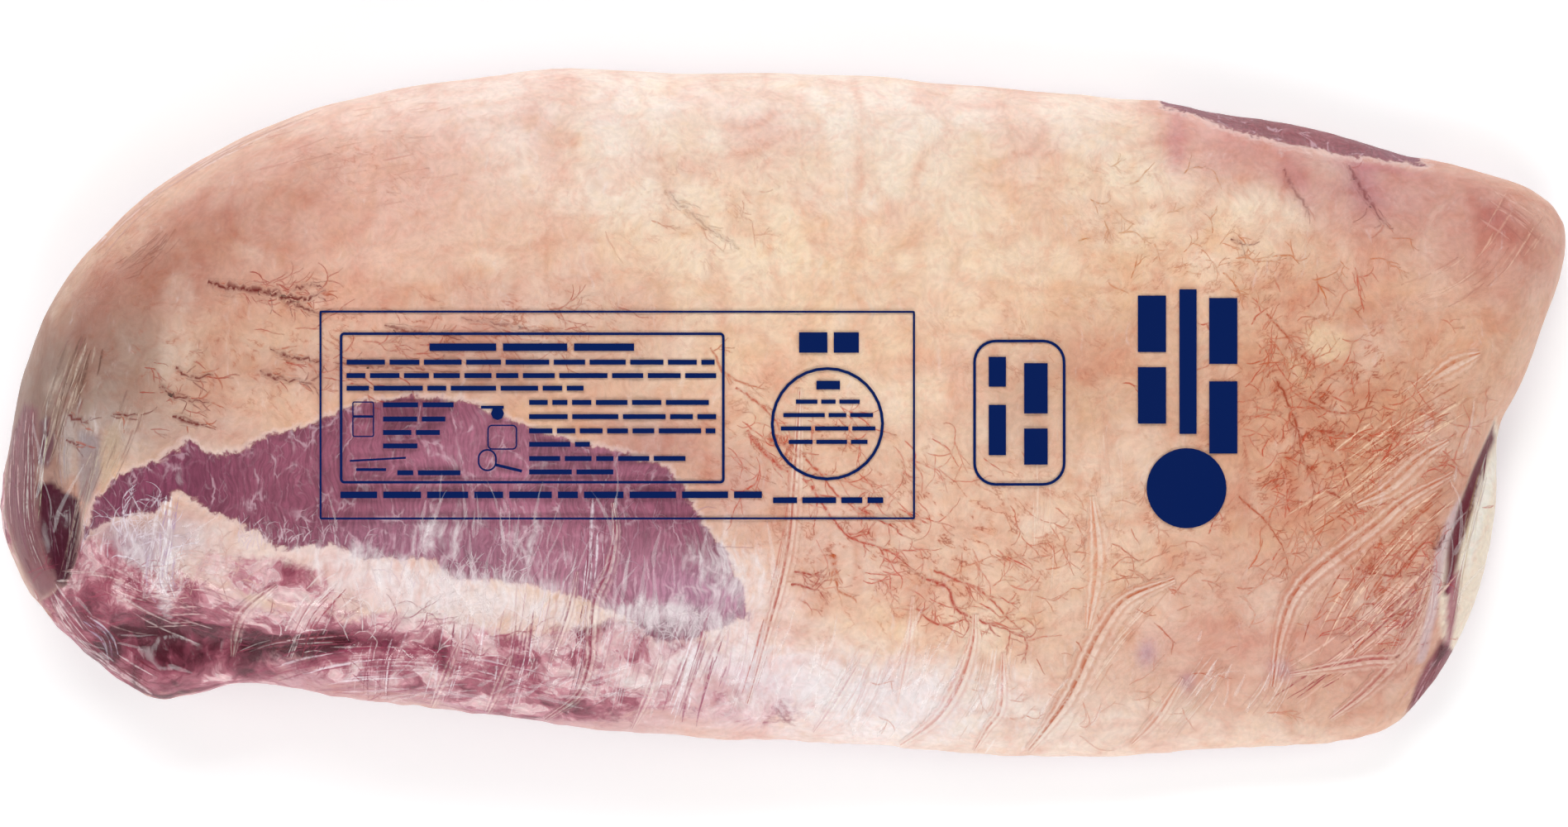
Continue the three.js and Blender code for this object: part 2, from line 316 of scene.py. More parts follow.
# Film pleats: the line, half its width and its height in mm before add_pleats scales them, and
# the colour of the juice beside it
PLEATS = [
    ([(21, 32), (16, -63), (10, -148), (-1, -211), (-17, -269), (-32, -322), (-46, -369)],
     1.5, 0.9, "b04a40"),
    ([(243, -255), (241, -295), (225, -346), (195, -391), (146, -425)], 1.9, 1.0, "c4685a"),
    ([(279, -304), (278, -374), (260, -402), (243, -430)], 1.4, 0.8, "c87464"),
    ([(497, -211), (437, -237), (409, -272), (392, -304), (366, -360), (336, -402), (310, -433)],
     2.5, 1.5, "b85a34"),
    ([(-217, -113), (-213, -151), (-222, -199), (-238, -236), (-243, -283), (-245, -316),
     (-262, -358), (-304, -390)], 1.7, 1.0, "8c3048"),
    ([(-262, -200), (-273, -253), (-296, -316)], 1.2, 0.7, "8f4055"),
    ([(853, -77), (792, -112), (751, -147), (664, -216), (636, -272), (624, -348)], 2.6, 1.2, "b85c40"),
    ([(846, -35), (814, -56), (771, -95), (729, -116)], 2.2, 1.0, "bc6440"),
    ([(887, 76), (856, 63), (819, 40)], 2.2, 0.9, "c06c44"),
    ([(-644, -218), (-682, -249), (-697, -278), (-702, -309)], 1.6, 0.9, "8f4048"),
    ([(829, -211), (813, -274), (750, -348), (697, -390)], 1.8, 0.8, "ac4c4c"),
    ([(824, -232), (792, -306), (740, -316), (645, -332)], 1.6, 0.8, "a83c44"),
    ([(164, -232), (160, -295), (145, -369)], 1.2, 0.5, "dcaaa0"),
    ([(392, -105), (400, -190), (387, -274)], 2.2, 0.6, "d88c6c"),
    ([(96, -316), (65, -369), (38, -406)], 1.3, 0.5, "cfa0a4"),
    ([(508, -337), (476, -390), (444, -422)], 1.4, 0.6, "cc8068"),
    ([(-410, -285), (-431, -337), (-452, -380)], 1.3, 0.6, "9c4f66"),
    ([(-346, -306), (-367, -358), (-383, -390)], 1.3, 0.6, "a35a70"),
    ([(-157, -306), (-172, -358), (-193, -401)], 1.3, 0.6, "b87484"),
]

# Dark streaks of blood near the surface: the line, half its width in mm before add_streaks
# widens it, and how dark
STREAKS = [
    ([(-730, 167), (-710, 160), (-684, 158), (-656, 154), (-629, 147), (-605, 145), (-580, 156)],
     1.1, 0.9),
    ([(-652, 152), (-629, 143), (-608, 133), (-587, 124)], 0.8, 0.7),
    ([(-626, 156), (-601, 162), (-582, 160)], 0.6, 0.7),
    ([(-772, 60), (-763, 51), (-747, 46), (-724, 48)], 0.6, 0.7),
    ([(-793, 36), (-779, 25), (-760, 19), (-728, 15)], 0.5, 0.7),
    ([(-774, -3), (-762, -8), (-745, -12), (-732, -15)], 0.8, 0.9),
    ([(-852, 0), (-837, -2), (-819, -1)], 0.4, 0.8),
    ([(-910, 0), (-900, -8), (-882, -13)], 0.5, 0.7),
    ([(-911, -34), (-903, -38), (-895, -41)], 0.6, 0.8),
    ([(-652, 84), (-636, 74), (-615, 70), (-587, 67)], 0.6, 0.7),
    ([(-663, 55), (-642, 44), (-605, 40)], 0.5, 0.7),
    ([(-504, 111), (-473, 103), (-441, 101), (-410, 93)], 0.6, 0.6),
    ([(-568, 63), (-526, 59), (-473, 57), (-410, 51)], 0.5, 0.5),
    ([(-410, 120), (-367, 114), (-315, 105), (-262, 101)], 0.5, 0.45),
    ([(-151, 283), (-125, 258), (-93, 234), (-56, 209)], 0.5, 0.35),
    ([(571, 221), (581, 217)], 0.5, 0.7),
    ([(637, 311), (647, 290), (661, 269), (670, 251)], 0.7, 0.45),
    ([(721, 316), (734, 290), (759, 251), (775, 234)], 0.6, 0.5),
    ([(828, -173), (837, -164), (843, -156)], 0.8, 0.9),
]

# Larger vessels that branch: the line, half its width in mm before add_vessels widens it, and
# its colour
VESSELS = [
    ([(-46, -21), (-14, -63), (20, -85), (62, -142), (90, -162), (132, -176), (174, -208)],
     0.5, "b43420"),
    ([(174, -208), (203, -221), (217, -247), (274, -267), (299, -278)], 0.5, "ac2e1e"),
    ([(95, -120), (118, -133), (146, -151)], 0.4, "b43420"),
    ([(-20, -32), (23, -51), (65, -95), (107, -127)], 0.45, "b84830"),
    ([(6, -200), (53, -211)], 0.4, "a22c18"),
    ([(8, -216), (44, -224)], 0.4, "a22c18"),
    ([(160, -242), (202, -266), (244, -258)], 0.4, "b43420"),
    ([(63, -179), (67, -224)], 0.8, "b85428"),
    ([(191, -200), (244, -227), (307, -285)], 0.4, "b84c38"),
    ([(-62, 32), (-20, 0), (12, -63)], 0.4, "b8543c"),
    ([(-93, 84), (-72, 53), (-20, 32)], 0.35, "bc6040"),
    ([(624, 47), (645, 0), (661, -63), (676, -105)], 0.45, "9c3c1c"),
    ([(676, -21), (740, -32), (792, -63)], 0.45, "a0381c"),
    ([(687, -95), (740, -127), (792, -148)], 0.45, "a0381c"),
    ([(655, 21), (708, 0), (750, 11)], 0.4, "a84020"),
    ([(729, -200), (792, -211), (834, -200)], 0.45, "a0301c"),
    ([(708, -63), (729, -105), (782, -127)], 0.4, "983418"),
    ([(581, -105), (624, -148), (645, -190)], 0.35, "b04c2c"),
    ([(613, 127), (655, 84), (645, 42)], 0.35, "b05030"),
    ([(740, -242), (792, -258), (834, -248)], 0.4, "a8382a"),
]

# Clusters of small vessels, and of pale wisps of membrane at the lean's lower edge: place, half
# sizes, how many, length in mm, heading, spread, colour
CLUSTERS = [
    ((697, -21), (158, 137), 110, 8, 20, 90, "bc4018"),
    ((645, 74), (74, 63), 30, 8, 20, 90, "b84a24"),
    ((766, -105), (70, 84), 56, 9, 25, 60, "ba3a18"),
    ((771, -232), (55, 63), 40, 10, 15, 30, "bc3018"),
    ((687, -211), (116, 84), 30, 9, 40, 40, "c45a34"),
    ((560, 179), (158, 63), 26, 7, 0, 90, "c46a34"),
    ((402, 264), (105, 53), 10, 7, 0, 90, "c07840"),
    ((75, -63), (127, 84), 34, 13, -38, 18, "c03a22"),
    ((212, -211), (127, 63), 26, 9, -25, 20, "c0341e"),
    ((307, -169), (127, 95), 34, 8, -20, 60, "c05a3c"),
    ((476, -211), (148, 95), 34, 7, 0, 60, "bc5a3e"),
    ((371, -369), (211, 42), 20, 8, -10, 40, "cc7a62"),
    ((-526, 74), (127, 53), 26, 9, -5, 20, "a8382a"),
    ((-325, 105), (116, 37), 20, 10, -12, 20, "a84c3c"),
    ((-652, 156), (79, 13), 20, 8, -5, 14, "9c2a20"),
    ((-763, 32), (63, 42), 12, 6, -5, 25, "a03024"),
    ((-72, 264), (127, 42), 6, 8, -40, 30, "c88a72"),
    ((-642, -167), (116, 11), 30, 6, 80, 15, "dcc4cc"),
    ((-399, -213), (116, 9.5), 34, 7, 85, 10, "e0ccd2"),
    ((-146, -285), (105, 11), 34, 8, 85, 10, "e6d4da"),
    ((-262, -169), (127, 53), 18, 14, 86, 8, "b890a0"),
    ((-821, -158), (53, 25), 40, 8, 60, 50, "ece0ea"),
    ((-736, -200), (74, 32), 26, 8, 20, 60, "dcb0a8"),
    ((-863, -232), (95, 42), 50, 8, 10, 60, "a4485e"),
    ((-526, -306), (211, 42), 70, 10, 10, 40, "a04a62"),
    ((-410, -274), (211, 42), 60, 10, 60, 50, "f2e2e2"),
]

# Bundles of fine strands that run side by side: the line they follow, how far they spread in mm,
# how many, the share of the line that each covers, half width in mm, colours and strength
BUNDLES = [
    ([(858, -105), (792, -158), (729, -232), (687, -316)], 9, 44, 0.3, 0.6,
     ("f6d2b8", "a84028", "b4583c"), 1.0),
    ([(840, -190), (782, -253), (708, -316), (624, -369)], 9, 50, 0.3, 0.6, ("f0c8b8", "a03440"), 0.95),
    ([(877, 11), (792, -42), (708, -105), (645, -148)], 9, 44, 0.3, 0.6, ("f4d2b4", "ac4c28"), 0.85),
    ([(950, 264), (887, 179), (792, 127)], 12, 24, 0.3, 0.6, ("ecc4ac", "b07464"), 0.5),
    ([(-884, 95), (-911, 21), (-937, -74)], 8, 40, 0.35, 0.7, ("c9b4a4", "6a4a40", "8a5c56"), 0.8),
    ([(-941, -211), (-911, -264), (-863, -316), (-789, -365)], 8, 44, 0.3, 0.7,
     ("6f1830", "8f3048", "e6cdd0"), 0.9),
    ([(-863, -211), (-810, -232), (-726, -232), (-652, -274)], 9, 44, 0.25, 0.6,
     ("a04a5c", "e8c8c4", "8c3a50"), 0.7),
    ([(-557, -211), (-599, -253), (-631, -316)], 6, 20, 0.5, 0.6, ("a03c50", "f2e0de"), 0.8),
    ([(-684, 316), (-557, 348), (-410, 369)], 24, 40, 0.15, 0.5, ("c88478", "d8a090"), 0.5),
    ([(-821, 32), (-847, -42), (-882, -116)], 7, 24, 0.4, 0.5, ("cab4a4", "80605a"), 0.6),
    ([(-504, -264), (-520, -316), (-526, -369)], 7, 18, 0.5, 0.7, ("8a3450", "f2e2e8"), 0.85),
    ([(-410, -253), (-422, -316), (-441, -380)], 7, 18, 0.5, 0.7, ("8a3450", "f2e2e8"), 0.85),
    ([(-325, -242), (-336, -316), (-357, -390)], 7, 18, 0.5, 0.7, ("8f3a58", "f2e2e8"), 0.85),
    ([(-241, -105), (-245, -211), (-262, -316), (-283, -390)], 4, 18, 0.4, 0.7,
     ("7e2c48", "f0e0e8"), 0.85),
    ([(-93, -253), (-114, -316), (-141, -401)], 8, 22, 0.5, 0.7, ("a04a68", "faf0f4"), 0.8),
    ([(-684, -348), (-557, -316), (-410, -316), (-262, -348)], 6, 34, 0.3, 0.6,
     ("9c3a58", "f4e2ea"), 0.75),
    ([(21, 21), (10, -148), (-17, -274), (-46, -369)], 4, 16, 0.4, 0.6, ("b8483c", "f6e2d6"), 0.8),
    ([(-975, 21), (-981, -63), (-977, -148), (-958, -211)], 6, 60, 0.3, 0.6,
     ("dcbab8", "84455a", "9a6068", "6f3f4a"), 0.8),
    # The next two: pale lines of painted highlight along the film's folds at the point end, among darker
    # strands
    ([(-958, 21), (-960, -63), (-958, -148), (-930, -219)], 2, 12, 0.5, 0.4, ("ddd6d0", "6f3c4c"), 0.7),
    ([(-933, 17), (-941, -63), (-952, -148)], 1.6, 7, 0.5, 0.4, ("e6e2dc", "cfc6a6", "5a4650"), 0.8),
    ([(-935, -95), (-930, -148), (-922, -211)], 2.2, 6, 0.5, 0.35, ("b89aa4", "7a4458"), 0.7),
    ([(-903, -63), (-905, -127), (-918, -216)], 2.0, 7, 0.5, 0.4, ("cdbcb8", "6f4150"), 0.6),
    ([(-867, -30), (-882, -84), (-897, -137), (-916, -227)], 2.6, 14, 0.5, 0.55,
     ("cbb9a4", "a3938c", "8f6a68"), 0.7),
    ([(-911, 0), (-914, -63), (-907, -105)], 4, 14, 0.6, 0.6, ("c2aba0", "806660", "9a93a0"), 0.6),
    ([(-937, -227), (-916, -274), (-873, -316), (-800, -356)], 4, 22, 0.35, 0.55,
     ("efe4e0", "9a4f62", "d8b9c0"), 0.7),
    ([(-895, -258), (-863, -285), (-852, -332)], 3, 10, 0.5, 0.5, ("c9b9d4", "efe6ee", "8c5a78"), 0.7),
    ([(-926, -211), (-863, -211), (-789, -248), (-715, -274)], 6, 26, 0.3, 0.5,
     ("f0dcd8", "a85568", "dcb0ac"), 0.6),
    ([(-776, -105), (-783, -158), (-791, -211), (-772, -248)], 4, 26, 0.5, 0.8,
     ("f8f2f6", "f8f2f6", "b79ab4"), 0.9),
    ([(-713, -316), (-652, -297), (-578, -290), (-483, -287)], 3, 18, 0.35, 0.5,
     ("7c1c30", "b8566a", "efdcdc"), 0.75),
    ([(-642, -217), (-684, -253), (-703, -311)], 2.5, 10, 0.5, 0.45, ("9a3346", "f0dcd8"), 0.8),
    ([(-694, -369), (-578, -356), (-452, -365), (-325, -392)], 6, 30, 0.25, 0.5,
     ("e6cbd6", "a05a74", "c58ba2"), 0.6),
    # The next five run down the lower side: their white strands are painted highlights on the film's
    # wrinkles, beside rosy strands of colour
    ([(-304, -211), (-315, -274), (-336, -348)], 14, 22, 0.5, 0.5, ("f0dfe8", "a8607c"), 0.5),
    ([(-199, -232), (-209, -295), (-230, -380)], 12, 18, 0.5, 0.5, ("f6ecf0", "b87890"), 0.5),
    ([(-51, -274), (-62, -327), (-83, -390)], 14, 18, 0.5, 0.5, ("fbf3f6", "d3a3b4"), 0.5),
    ([(118, -295), (96, -348), (60, -406)], 18, 30, 0.5, 0.5, ("fdf7f6", "d9a9a8"), 0.5),
    ([(265, -295), (249, -358), (212, -416)], 16, 24, 0.5, 0.5, ("fbf0ea", "d3a090"), 0.5),
    ([(497, -211), (423, -295), (339, -411)], 5, 14, 0.4, 0.6, ("f8e4d4", "c98870"), 0.6),
    ([(402, 21), (413, -105), (402, -232)], 5, 12, 0.3, 0.6, ("f4dcca", "d9a48c"), 0.4),
    ([(328, -42), (326, -158), (307, -274)], 6, 12, 0.3, 0.6, ("f6e2d2", "dba78f"), 0.35),
    ([(560, -316), (518, -369), (476, -416)], 10, 20, 0.5, 0.5, ("f8e8de", "d3a08e"), 0.5),
    ([(645, -306), (624, -358), (592, -401)], 8, 16, 0.5, 0.5, ("f6e4dc", "c98f86"), 0.5),
    ([(853, -63), (782, -116), (697, -190), (645, -264)], 4, 18, 0.35, 0.6, ("efcbb2", "b8654c"), 0.6),
    ([(845, -30), (792, -63), (729, -110)], 3, 14, 0.4, 0.5, ("f4d2ba", "b8654c"), 0.6),
    ([(887, 76), (845, 53), (792, 8)], 4, 14, 0.4, 0.6, ("f2d6be", "bd8060"), 0.6),
    ([(832, -158), (809, -242), (782, -316), (729, -369)], 5, 22, 0.35, 0.5,
     ("eccac2", "a0485a"), 0.55),
    ([(910, -13), (887, -95), (866, -190), (847, -295)], 3, 16, 0.4, 0.5,
     ("f6f2ec", "c9b48a", "8c4a60"), 0.6),
    ([(840, -306), (822, -337), (799, -386)], 2.5, 12, 0.5, 0.45, ("6f2038", "d9a9b4"), 0.8),
    # Pale strands along the upper left outline: painted highlight of the film along the rim, with darker
    # strands
    ([(-905, 179), (-821, 264), (-705, 337), (-578, 390)], 4, 30, 0.3, 0.5, ("ead8dc", "b98a86"), 0.6),
    ([(898, 274), (940, 242), (969, 211)], 6, 14, 0.5, 0.5, ("e8bcb0", "a86a60"), 0.5),
    ([(-842, 179), (-800, 211), (-773, 242)], 5, 26, 0.3, 0.3, ("8f5448", "9c6254"), 0.6),
]

# Where the film gathers in short folds: place, half sizes, how many, length in mm, heading, spread
GATHERS = [
    ((-262, -232), (200, 47), 46, 17, 84, 14),
    ((-410, -148), (158, 37), 20, 12, 86, 10),
    ((118, -358), (232, 47), 46, 16, 70, 12),
    ((-346, -358), (253, 26), 40, 15, 12, 16),
    ((-884, -285), (63, 47), 10, 11, -30, 40),
    ((-926, -127), (42, 105), 4, 22, 80, 10),
    ((856, -190), (19, 116), 14, 18, 70, 12),
    ((-789, -200), (63, 47), 26, 10, 60, 50),
    ((529, -369), (127, 42), 12, 10, 66, 14),
]


# ---------------------------------------------------------------- numbers on the surface

def spots(places):
    """Places from the tables, as plan points in metres."""
    return np.array(places, float).reshape(-1, 2) * UNIT


def lattice(points, lump, seed):
    """Smooth noise from -1 to 1 with lumps of that size."""
    cell = points / lump + 17.3 * seed
    base = np.floor(cell)
    part = cell - base
    part = part * part * (3 - 2 * part)
    total = np.zeros(len(points))
    for corner in np.ndindex(2, 2, 2):
        at = base + corner
        turn = np.sin(at @ np.array([127.1, 311.7, 74.7]) + seed * 3.7) * 43758.5453
        share = np.prod(np.where(np.array(corner) == 1, part, 1 - part), axis=1)
        total += share * (turn - np.floor(turn))
    return 2 * total - 1


def cloud(points, lump, seed, octaves=3):
    """Noise with finer and fainter noise on it."""
    total = np.zeros(len(points))
    for octave in range(octaves):
        total += lattice(points, lump / 2.03 ** octave, seed + octave) / 2 ** octave
    return total / (2 - 2 / 2 ** octaves)


def smooth_step(value, low, high):
    part = np.clip((value - low) / (high - low), 0, 1)
    return part * part * (3 - 2 * part)


def ellipse_fade(plan, place, half_sizes, turn):
    """1 in the middle of an ellipse, falling smoothly to nothing past its edge."""
    away = plan - spots(place)
    angle = math.radians(turn)
    along = (away[:, 0] * math.cos(angle) + away[:, 1] * math.sin(angle)) / (half_sizes[0] * UNIT)
    across = (away[:, 1] * math.cos(angle) - away[:, 0] * math.sin(angle)) / (half_sizes[1] * UNIT)
    return np.exp(-(along ** 2 + across ** 2) ** 1.3)


def line_distance(plan, line):
    """The distance from each plan point to a line of straight pieces."""
    nearest = np.full(len(plan), np.inf)
    for start, end in zip(line[:-1], line[1:]):
        step = end - start
        share = np.clip((plan - start) @ step / (step @ step), 0, 1)
        nearest = np.minimum(nearest, np.linalg.norm(plan - start - share[:, None] * step, axis=1))
    return nearest


def inside_distance(plan, outline):
    """The distance to a closed outline, counted positive inside it."""
    closed = np.vstack([outline, outline[:1]])
    inside = np.zeros(len(plan), bool)
    for start, end in zip(closed[:-1], closed[1:]):
        spans = (start[1] > plan[:, 1]) != (end[1] > plan[:, 1])
        rise = end[1] - start[1]
        cross = start[0] + (plan[:, 1] - start[1]) * (end[0] - start[0]) / (rise if rise else 1)
        inside ^= spans & (plan[:, 0] < cross)
    return np.where(inside, 1, -1) * line_distance(plan, closed)


# ---------------------------------------------------------------- what covers the surface where

def patched(plan, base, patches):
    """Linear colours of a base painted over with soft patches."""
    colours = np.tile(under_film(base), (len(plan), 1))
    for place, half_sizes, turn, code, strength in patches:
        share = strength * ellipse_fade(plan, place, half_sizes, turn)
        colours += share[:, None] * (under_film(code) - colours)
    return colours


def strongest(plan, patches):
    """How strongly the strongest of some soft patches covers each point."""
    cover = np.zeros(len(plan))
    for place, half_sizes, turn, strength in patches:
        cover = np.maximum(cover, strength * ellipse_fade(plan, place, half_sizes, turn))
    return cover


def warped_plan(points, amount, seed):
    """Plan points pushed about a little, so that what is drawn with them has uneven edges."""
    push = np.stack([cloud(points, 26 * MM, seed), cloud(points, 26 * MM, seed + 9)], axis=1)
    return points[:, :2] + amount * push


def underside(normals):
    """0 on what can be seen from above, rising to 1 on what faces down."""
    return smooth_step(-normals[:, 2], 0.05, 0.45)


def summed(plan, patches):
    """The total of some soft patches at each point."""
    total = np.zeros(len(plan))
    for place, half_sizes, turn, strength in patches:
        total += strength * ellipse_fade(plan, place, half_sizes, turn)
    return total


def blended(colours, share, target):
    """Colours moved towards a target, by a share at each point."""
    return colours + share[:, None] * (target - colours)


def clouded(points, colours):
    """The fat's broad clouds of pink, yellow, pale and amber."""
    bent = points + 6 * MM * np.stack([cloud(points, 20 * MM, seed) for seed in (51, 53, 55)], axis=1)
    pink = smooth_step(cloud(bent, 24 * MM, 61, 4), 0.0, 0.5)
    colours = blended(colours, 0.4 * pink, colours * paint("f0c6c2"))
    yellow = smooth_step(cloud(bent, 20 * MM, 63, 4), 0.0, 0.5)
    colours = blended(colours, 0.3 * yellow, colours * paint("fdf0d8"))
    pale = smooth_step(cloud(bent, 16 * MM, 65, 4), 0.05, 0.5)
    colours = blended(colours, 0.22 * pale, under_film("f7e8da"))
    for lump, seed, tint in ((17, 73, "e6b4a4"), (11, 77, "eac4b0")):
        seam = 1 - np.abs(lattice(bent, lump * MM, seed)) * 4
        colours = blended(colours, 0.28 * np.clip(seam, 0, 1), colours * paint(tint))
    lobe = smooth_step(np.abs(lattice(bent, 13 * MM, 79)), 0.35, 0.7)
    colours = blended(colours, 0.3 * lobe, np.minimum(1.12 * colours, 0.95))
    amber = smooth_step(cloud(bent, 9 * MM, 67, 4), 0.30, 0.55)
    return blended(colours, 0.2 * amber, colours * paint("eeb878"))


def surface_facts(points, normals):
    """Everything that the meat's material needs to know about points on the surface."""
    plan = warped_plan(points, 7 * MM, 1)
    crisp = warped_plan(points, 1.6 * MM, 3)
    below = underside(normals)
    above = 1 - below
    inward = np.max([inside_distance(crisp, spots(outline)) for outline in LEAN_OUTLINES], axis=0)
    under = (below - 0.5 + 0.35 * cloud(points, 60 * MM, 5)) * 14 * MM
    inward = np.where(below > 0.02, np.maximum(inward * above, under), inward)
    fat = clouded(points, patched(plan, FAT_BASE, FAT_PATCHES) * FAT_BALANCE)
    muscle = 1 + 0.2 * cloud(points, 18 * MM, 71)
    facts = {
        "lean_paint": patched(plan, LEAN_BASE, LEAN_PATCHES) * muscle[:, None],
        "lean": np.clip(inward / (6 * MM), -1, 1),
        # Membrane and film haze, with painted sheen of the film
        "milk_and_sheen": strongest(plan, MEMBRANE_AND_SHEEN_PATCHES) * above + 0.35 * below,
        "torn": np.maximum(strongest(plan, TORN_PATCHES) * above, 0.6 * below),
        # Paleness of the torn parts, with painted shade in the hollow and crevice
        "tone_and_shade": np.clip(summed(crisp, TONE_AND_HOLLOW_SHADE_PATCHES), -1, 1) * above,
        "rising": strongest(plan, RISING_PATCHES) * above,
        "falling": strongest(plan, FALLING_PATCHES) * above,
    }
    for outline, code, softness, strength in SHAPES:
        inward = inside_distance(crisp, spots(outline))
        share = strength * above * smooth_step(inward, -softness * MM, softness * MM)
        fat = blended(fat, share, under_film(code))
        facts["lean"] -= share * (facts["lean"] + 1)
        for name in ("milk_and_sheen", "torn", "rising", "falling"):
            facts[name] *= 1 - share
    facts["fat_paint"] = fat
    return facts


def meat_relief(points, normals, facts):
    """How far the meat's surface stands out of the smooth skin."""
    plan = points[:, :2]
    above = 1 - underside(normals)
    height = 0.4 * MM * cloud(points, 15 * MM, 21)
    height -= 0.7 * MM * smooth_step(facts["lean"], -0.2, 0.6)
    for place, half_sizes, turn, rise in LUMPS:
        height += rise * MM * ellipse_fade(plan, place, half_sizes, turn) * above
    lower_side = smooth_step(-plan[:, 1], 0.24 * HALF, 0.4 * HALF) * above
    height += 0.5 * MM * lattice(points * [1, 0.16, 0.3], 5 * MM, 31) * lower_side
    end_side = smooth_step(-plan[:, 0], 0.8 * HALF, 0.97 * HALF)
    height += 0.6 * MM * end_side * lattice(points * [1, 0.2, 0.4], 5 * MM, 33)
    torn_lumps = 1 - 2 * np.abs(cloud(points * [1, 1.6, 1], 17 * MM, 35))
    return height + 1.1 * MM * facts["torn"] * above * (torn_lumps - 0.5)


def film_relief(points):
    """How far the film stands out of the smooth skin, where it does not just follow the meat."""
    fold = 1 - np.abs(lattice(points * [1, 0.35, 0.6], 15 * MM, 41))
    return 0.5 * MM * fold ** 6


# ---------------------------------------------------------------- meshes

def fine_skin():
    """The CAD solid's surface as an even, smooth mesh of small quads."""
    source = bpy.data.objects.new("skin_source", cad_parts[NODE].data.copy())
    bpy.context.collection.objects.link(source)
    remesh = source.modifiers.new("remesh", "REMESH")
    remesh.mode = "VOXEL"
    remesh.voxel_size = SKIN_STEP
    smooth = source.modifiers.new("smooth", "SMOOTH")
    smooth.factor = 0.5
    smooth.iterations = SKIN_SMOOTHING
    graph = bpy.context.evaluated_depsgraph_get()
    mesh = bpy.data.meshes.new_from_object(source.evaluated_get(graph))
    bpy.data.objects.remove(source)
    mesh.materials.clear()
    return mesh


def read_points(mesh, what="co"):
    values = np.zeros(3 * len(mesh.vertices), np.float32)
    if what == "co":
        mesh.vertices.foreach_get("co", values)
    else:
        mesh.vertex_normals.foreach_get("vector", values)
    return values.reshape(-1, 3).astype(float)


def write_facts(mesh, facts):
    """Stores each fact as a point attribute of the mesh, for its material to read."""
    for name, values in facts.items():
        if values.ndim == 2:
            attribute = mesh.attributes.new(name, "FLOAT_COLOR", "POINT")
            full = np.ones((len(values), 4))
            full[:, :3] = values
            attribute.data.foreach_set("color", full.ravel())
        else:
            attribute = mesh.attributes.new(name, "FLOAT", "POINT")
            attribute.data.foreach_set("value", values)


def piece_from(mesh, name, material):
    """A shown piece that rides on the brisket's one body."""
    mesh.materials.append(material)
    mesh.polygons.foreach_set("use_smooth", np.ones(len(mesh.polygons), bool))
    piece = bpy.data.objects.new(name, mesh)
    bpy.context.collection.objects.link(piece)
    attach(piece, "root")
    return piece


def moved_copy(skin, points):
    """The skin's mesh with its vertices at other points, kept clear of the floor."""
    mesh = skin.copy()
    kept = points.copy()
    kept[:, 2] = np.maximum(kept[:, 2], FLOOR_GAP)
    mesh.vertices.foreach_set("co", kept.astype(np.float32).ravel())
    mesh.update()
    return mesh


def sideways(line):
    """At each point of a plan line, the unit vector to its right."""
    ahead = np.gradient(line, axis=0)
    side = np.stack([ahead[:, 1], -ahead[:, 0]], axis=1)
    return side / np.linalg.norm(side, axis=1)[:, None]


def grid_faces(first, rows, columns):
    """The quads of a grid whose points are numbered row by row from first on."""
    starts = [first + i * columns + j for i in range(rows - 1) for j in range(columns - 1)]
    return [(a, a + 1, a + columns + 1, a + columns) for a in starts]


def new_mesh(name, points, faces):
    mesh = bpy.data.meshes.new(name)
    mesh.from_pydata([tuple(point) for point in points], [], faces)
    return mesh


class Surface:
    """A finished mesh that lines and print are laid on."""

    def __init__(self, mesh):
        self.tree = BVHTree.FromPolygons(
            [vertex.co for vertex in mesh.vertices],
            [tuple(face.vertices) for face in mesh.polygons],
        )

    def under(self, x, y):
        """The top surface's point and normal below a plan point, or None off the edge."""
        point, normal, _, _ = self.tree.ray_cast(Vector((x, y, 2 * TOP)), Vector((0, 0, -1)))
        return None if point is None else (point, normal)


STEEPEST = 0.12               # strips stop where the surface's normal points up by less than this


class Ribbons:
    """Many narrow strips that lie on a surface, gathered into one mesh."""

    def __init__(self, surface):
        self.surface = surface
        self.points = []
        self.normals = []
        self.faces = []
        self.marks = []
        self.tints = []

    def add(self, plan, half_widths, section, mark=1.0):
        """A strip along a plan line, up to where the line leaves the surface.

        The section lists points across it: share of the half width, height, mark and tint.
        """
        first = len(self.points)
        laid = 0
        marks = np.broadcast_to(mark, len(plan))
        for place, aside, half_width, mark in zip(plan, sideways(plan), half_widths, marks):
            row = []
            for share, _, _, _ in section:
                x, y = place + aside * share * half_width
                row.append(self.surface.under(x, y))
            if any(found is None or found[1].z < STEEPEST for found in row):
                break
            for (point, normal), (_, height, strength, tint) in zip(row, section):
                self.points.append(point + normal * height)
                self.normals.append(normal)
                self.marks.append(strength * mark)
                self.tints.append(tint)
            laid += 1
        self.faces.extend(grid_faces(first, laid, len(section)))

    def mesh(self, name):
        return new_mesh(name, self.points, self.faces)


def even_line(places, step):
    """A smooth plan line through places, with points about a step apart."""
    corners = spots(places)
    if len(corners) > 2:
        ends = np.vstack([2 * corners[0] - corners[1], corners, 2 * corners[-1] - corners[-2]])
        shares = np.linspace(0, 1, 12, endpoint=False)[:, None]
        pieces = []
        for before, start, end, after in zip(ends, ends[1:], ends[2:], ends[3:]):
            pieces.append(0.5 * (2 * start + (end - before) * shares
                                 + (2 * before - 5 * start + 4 * end - after) * shares ** 2
                                 + (3 * start - before - 3 * end + after) * shares ** 3))
        corners = np.vstack(pieces + [corners[-1:]])
    lengths = np.concatenate([[0], np.cumsum(np.linalg.norm(np.diff(corners, axis=0), axis=1))])
    count = max(2, int(lengths[-1] / step) + 1)
    at = np.linspace(0, lengths[-1], count)
    return np.stack([np.interp(at, lengths, corners[:, k]) for k in (0, 1)], axis=1)


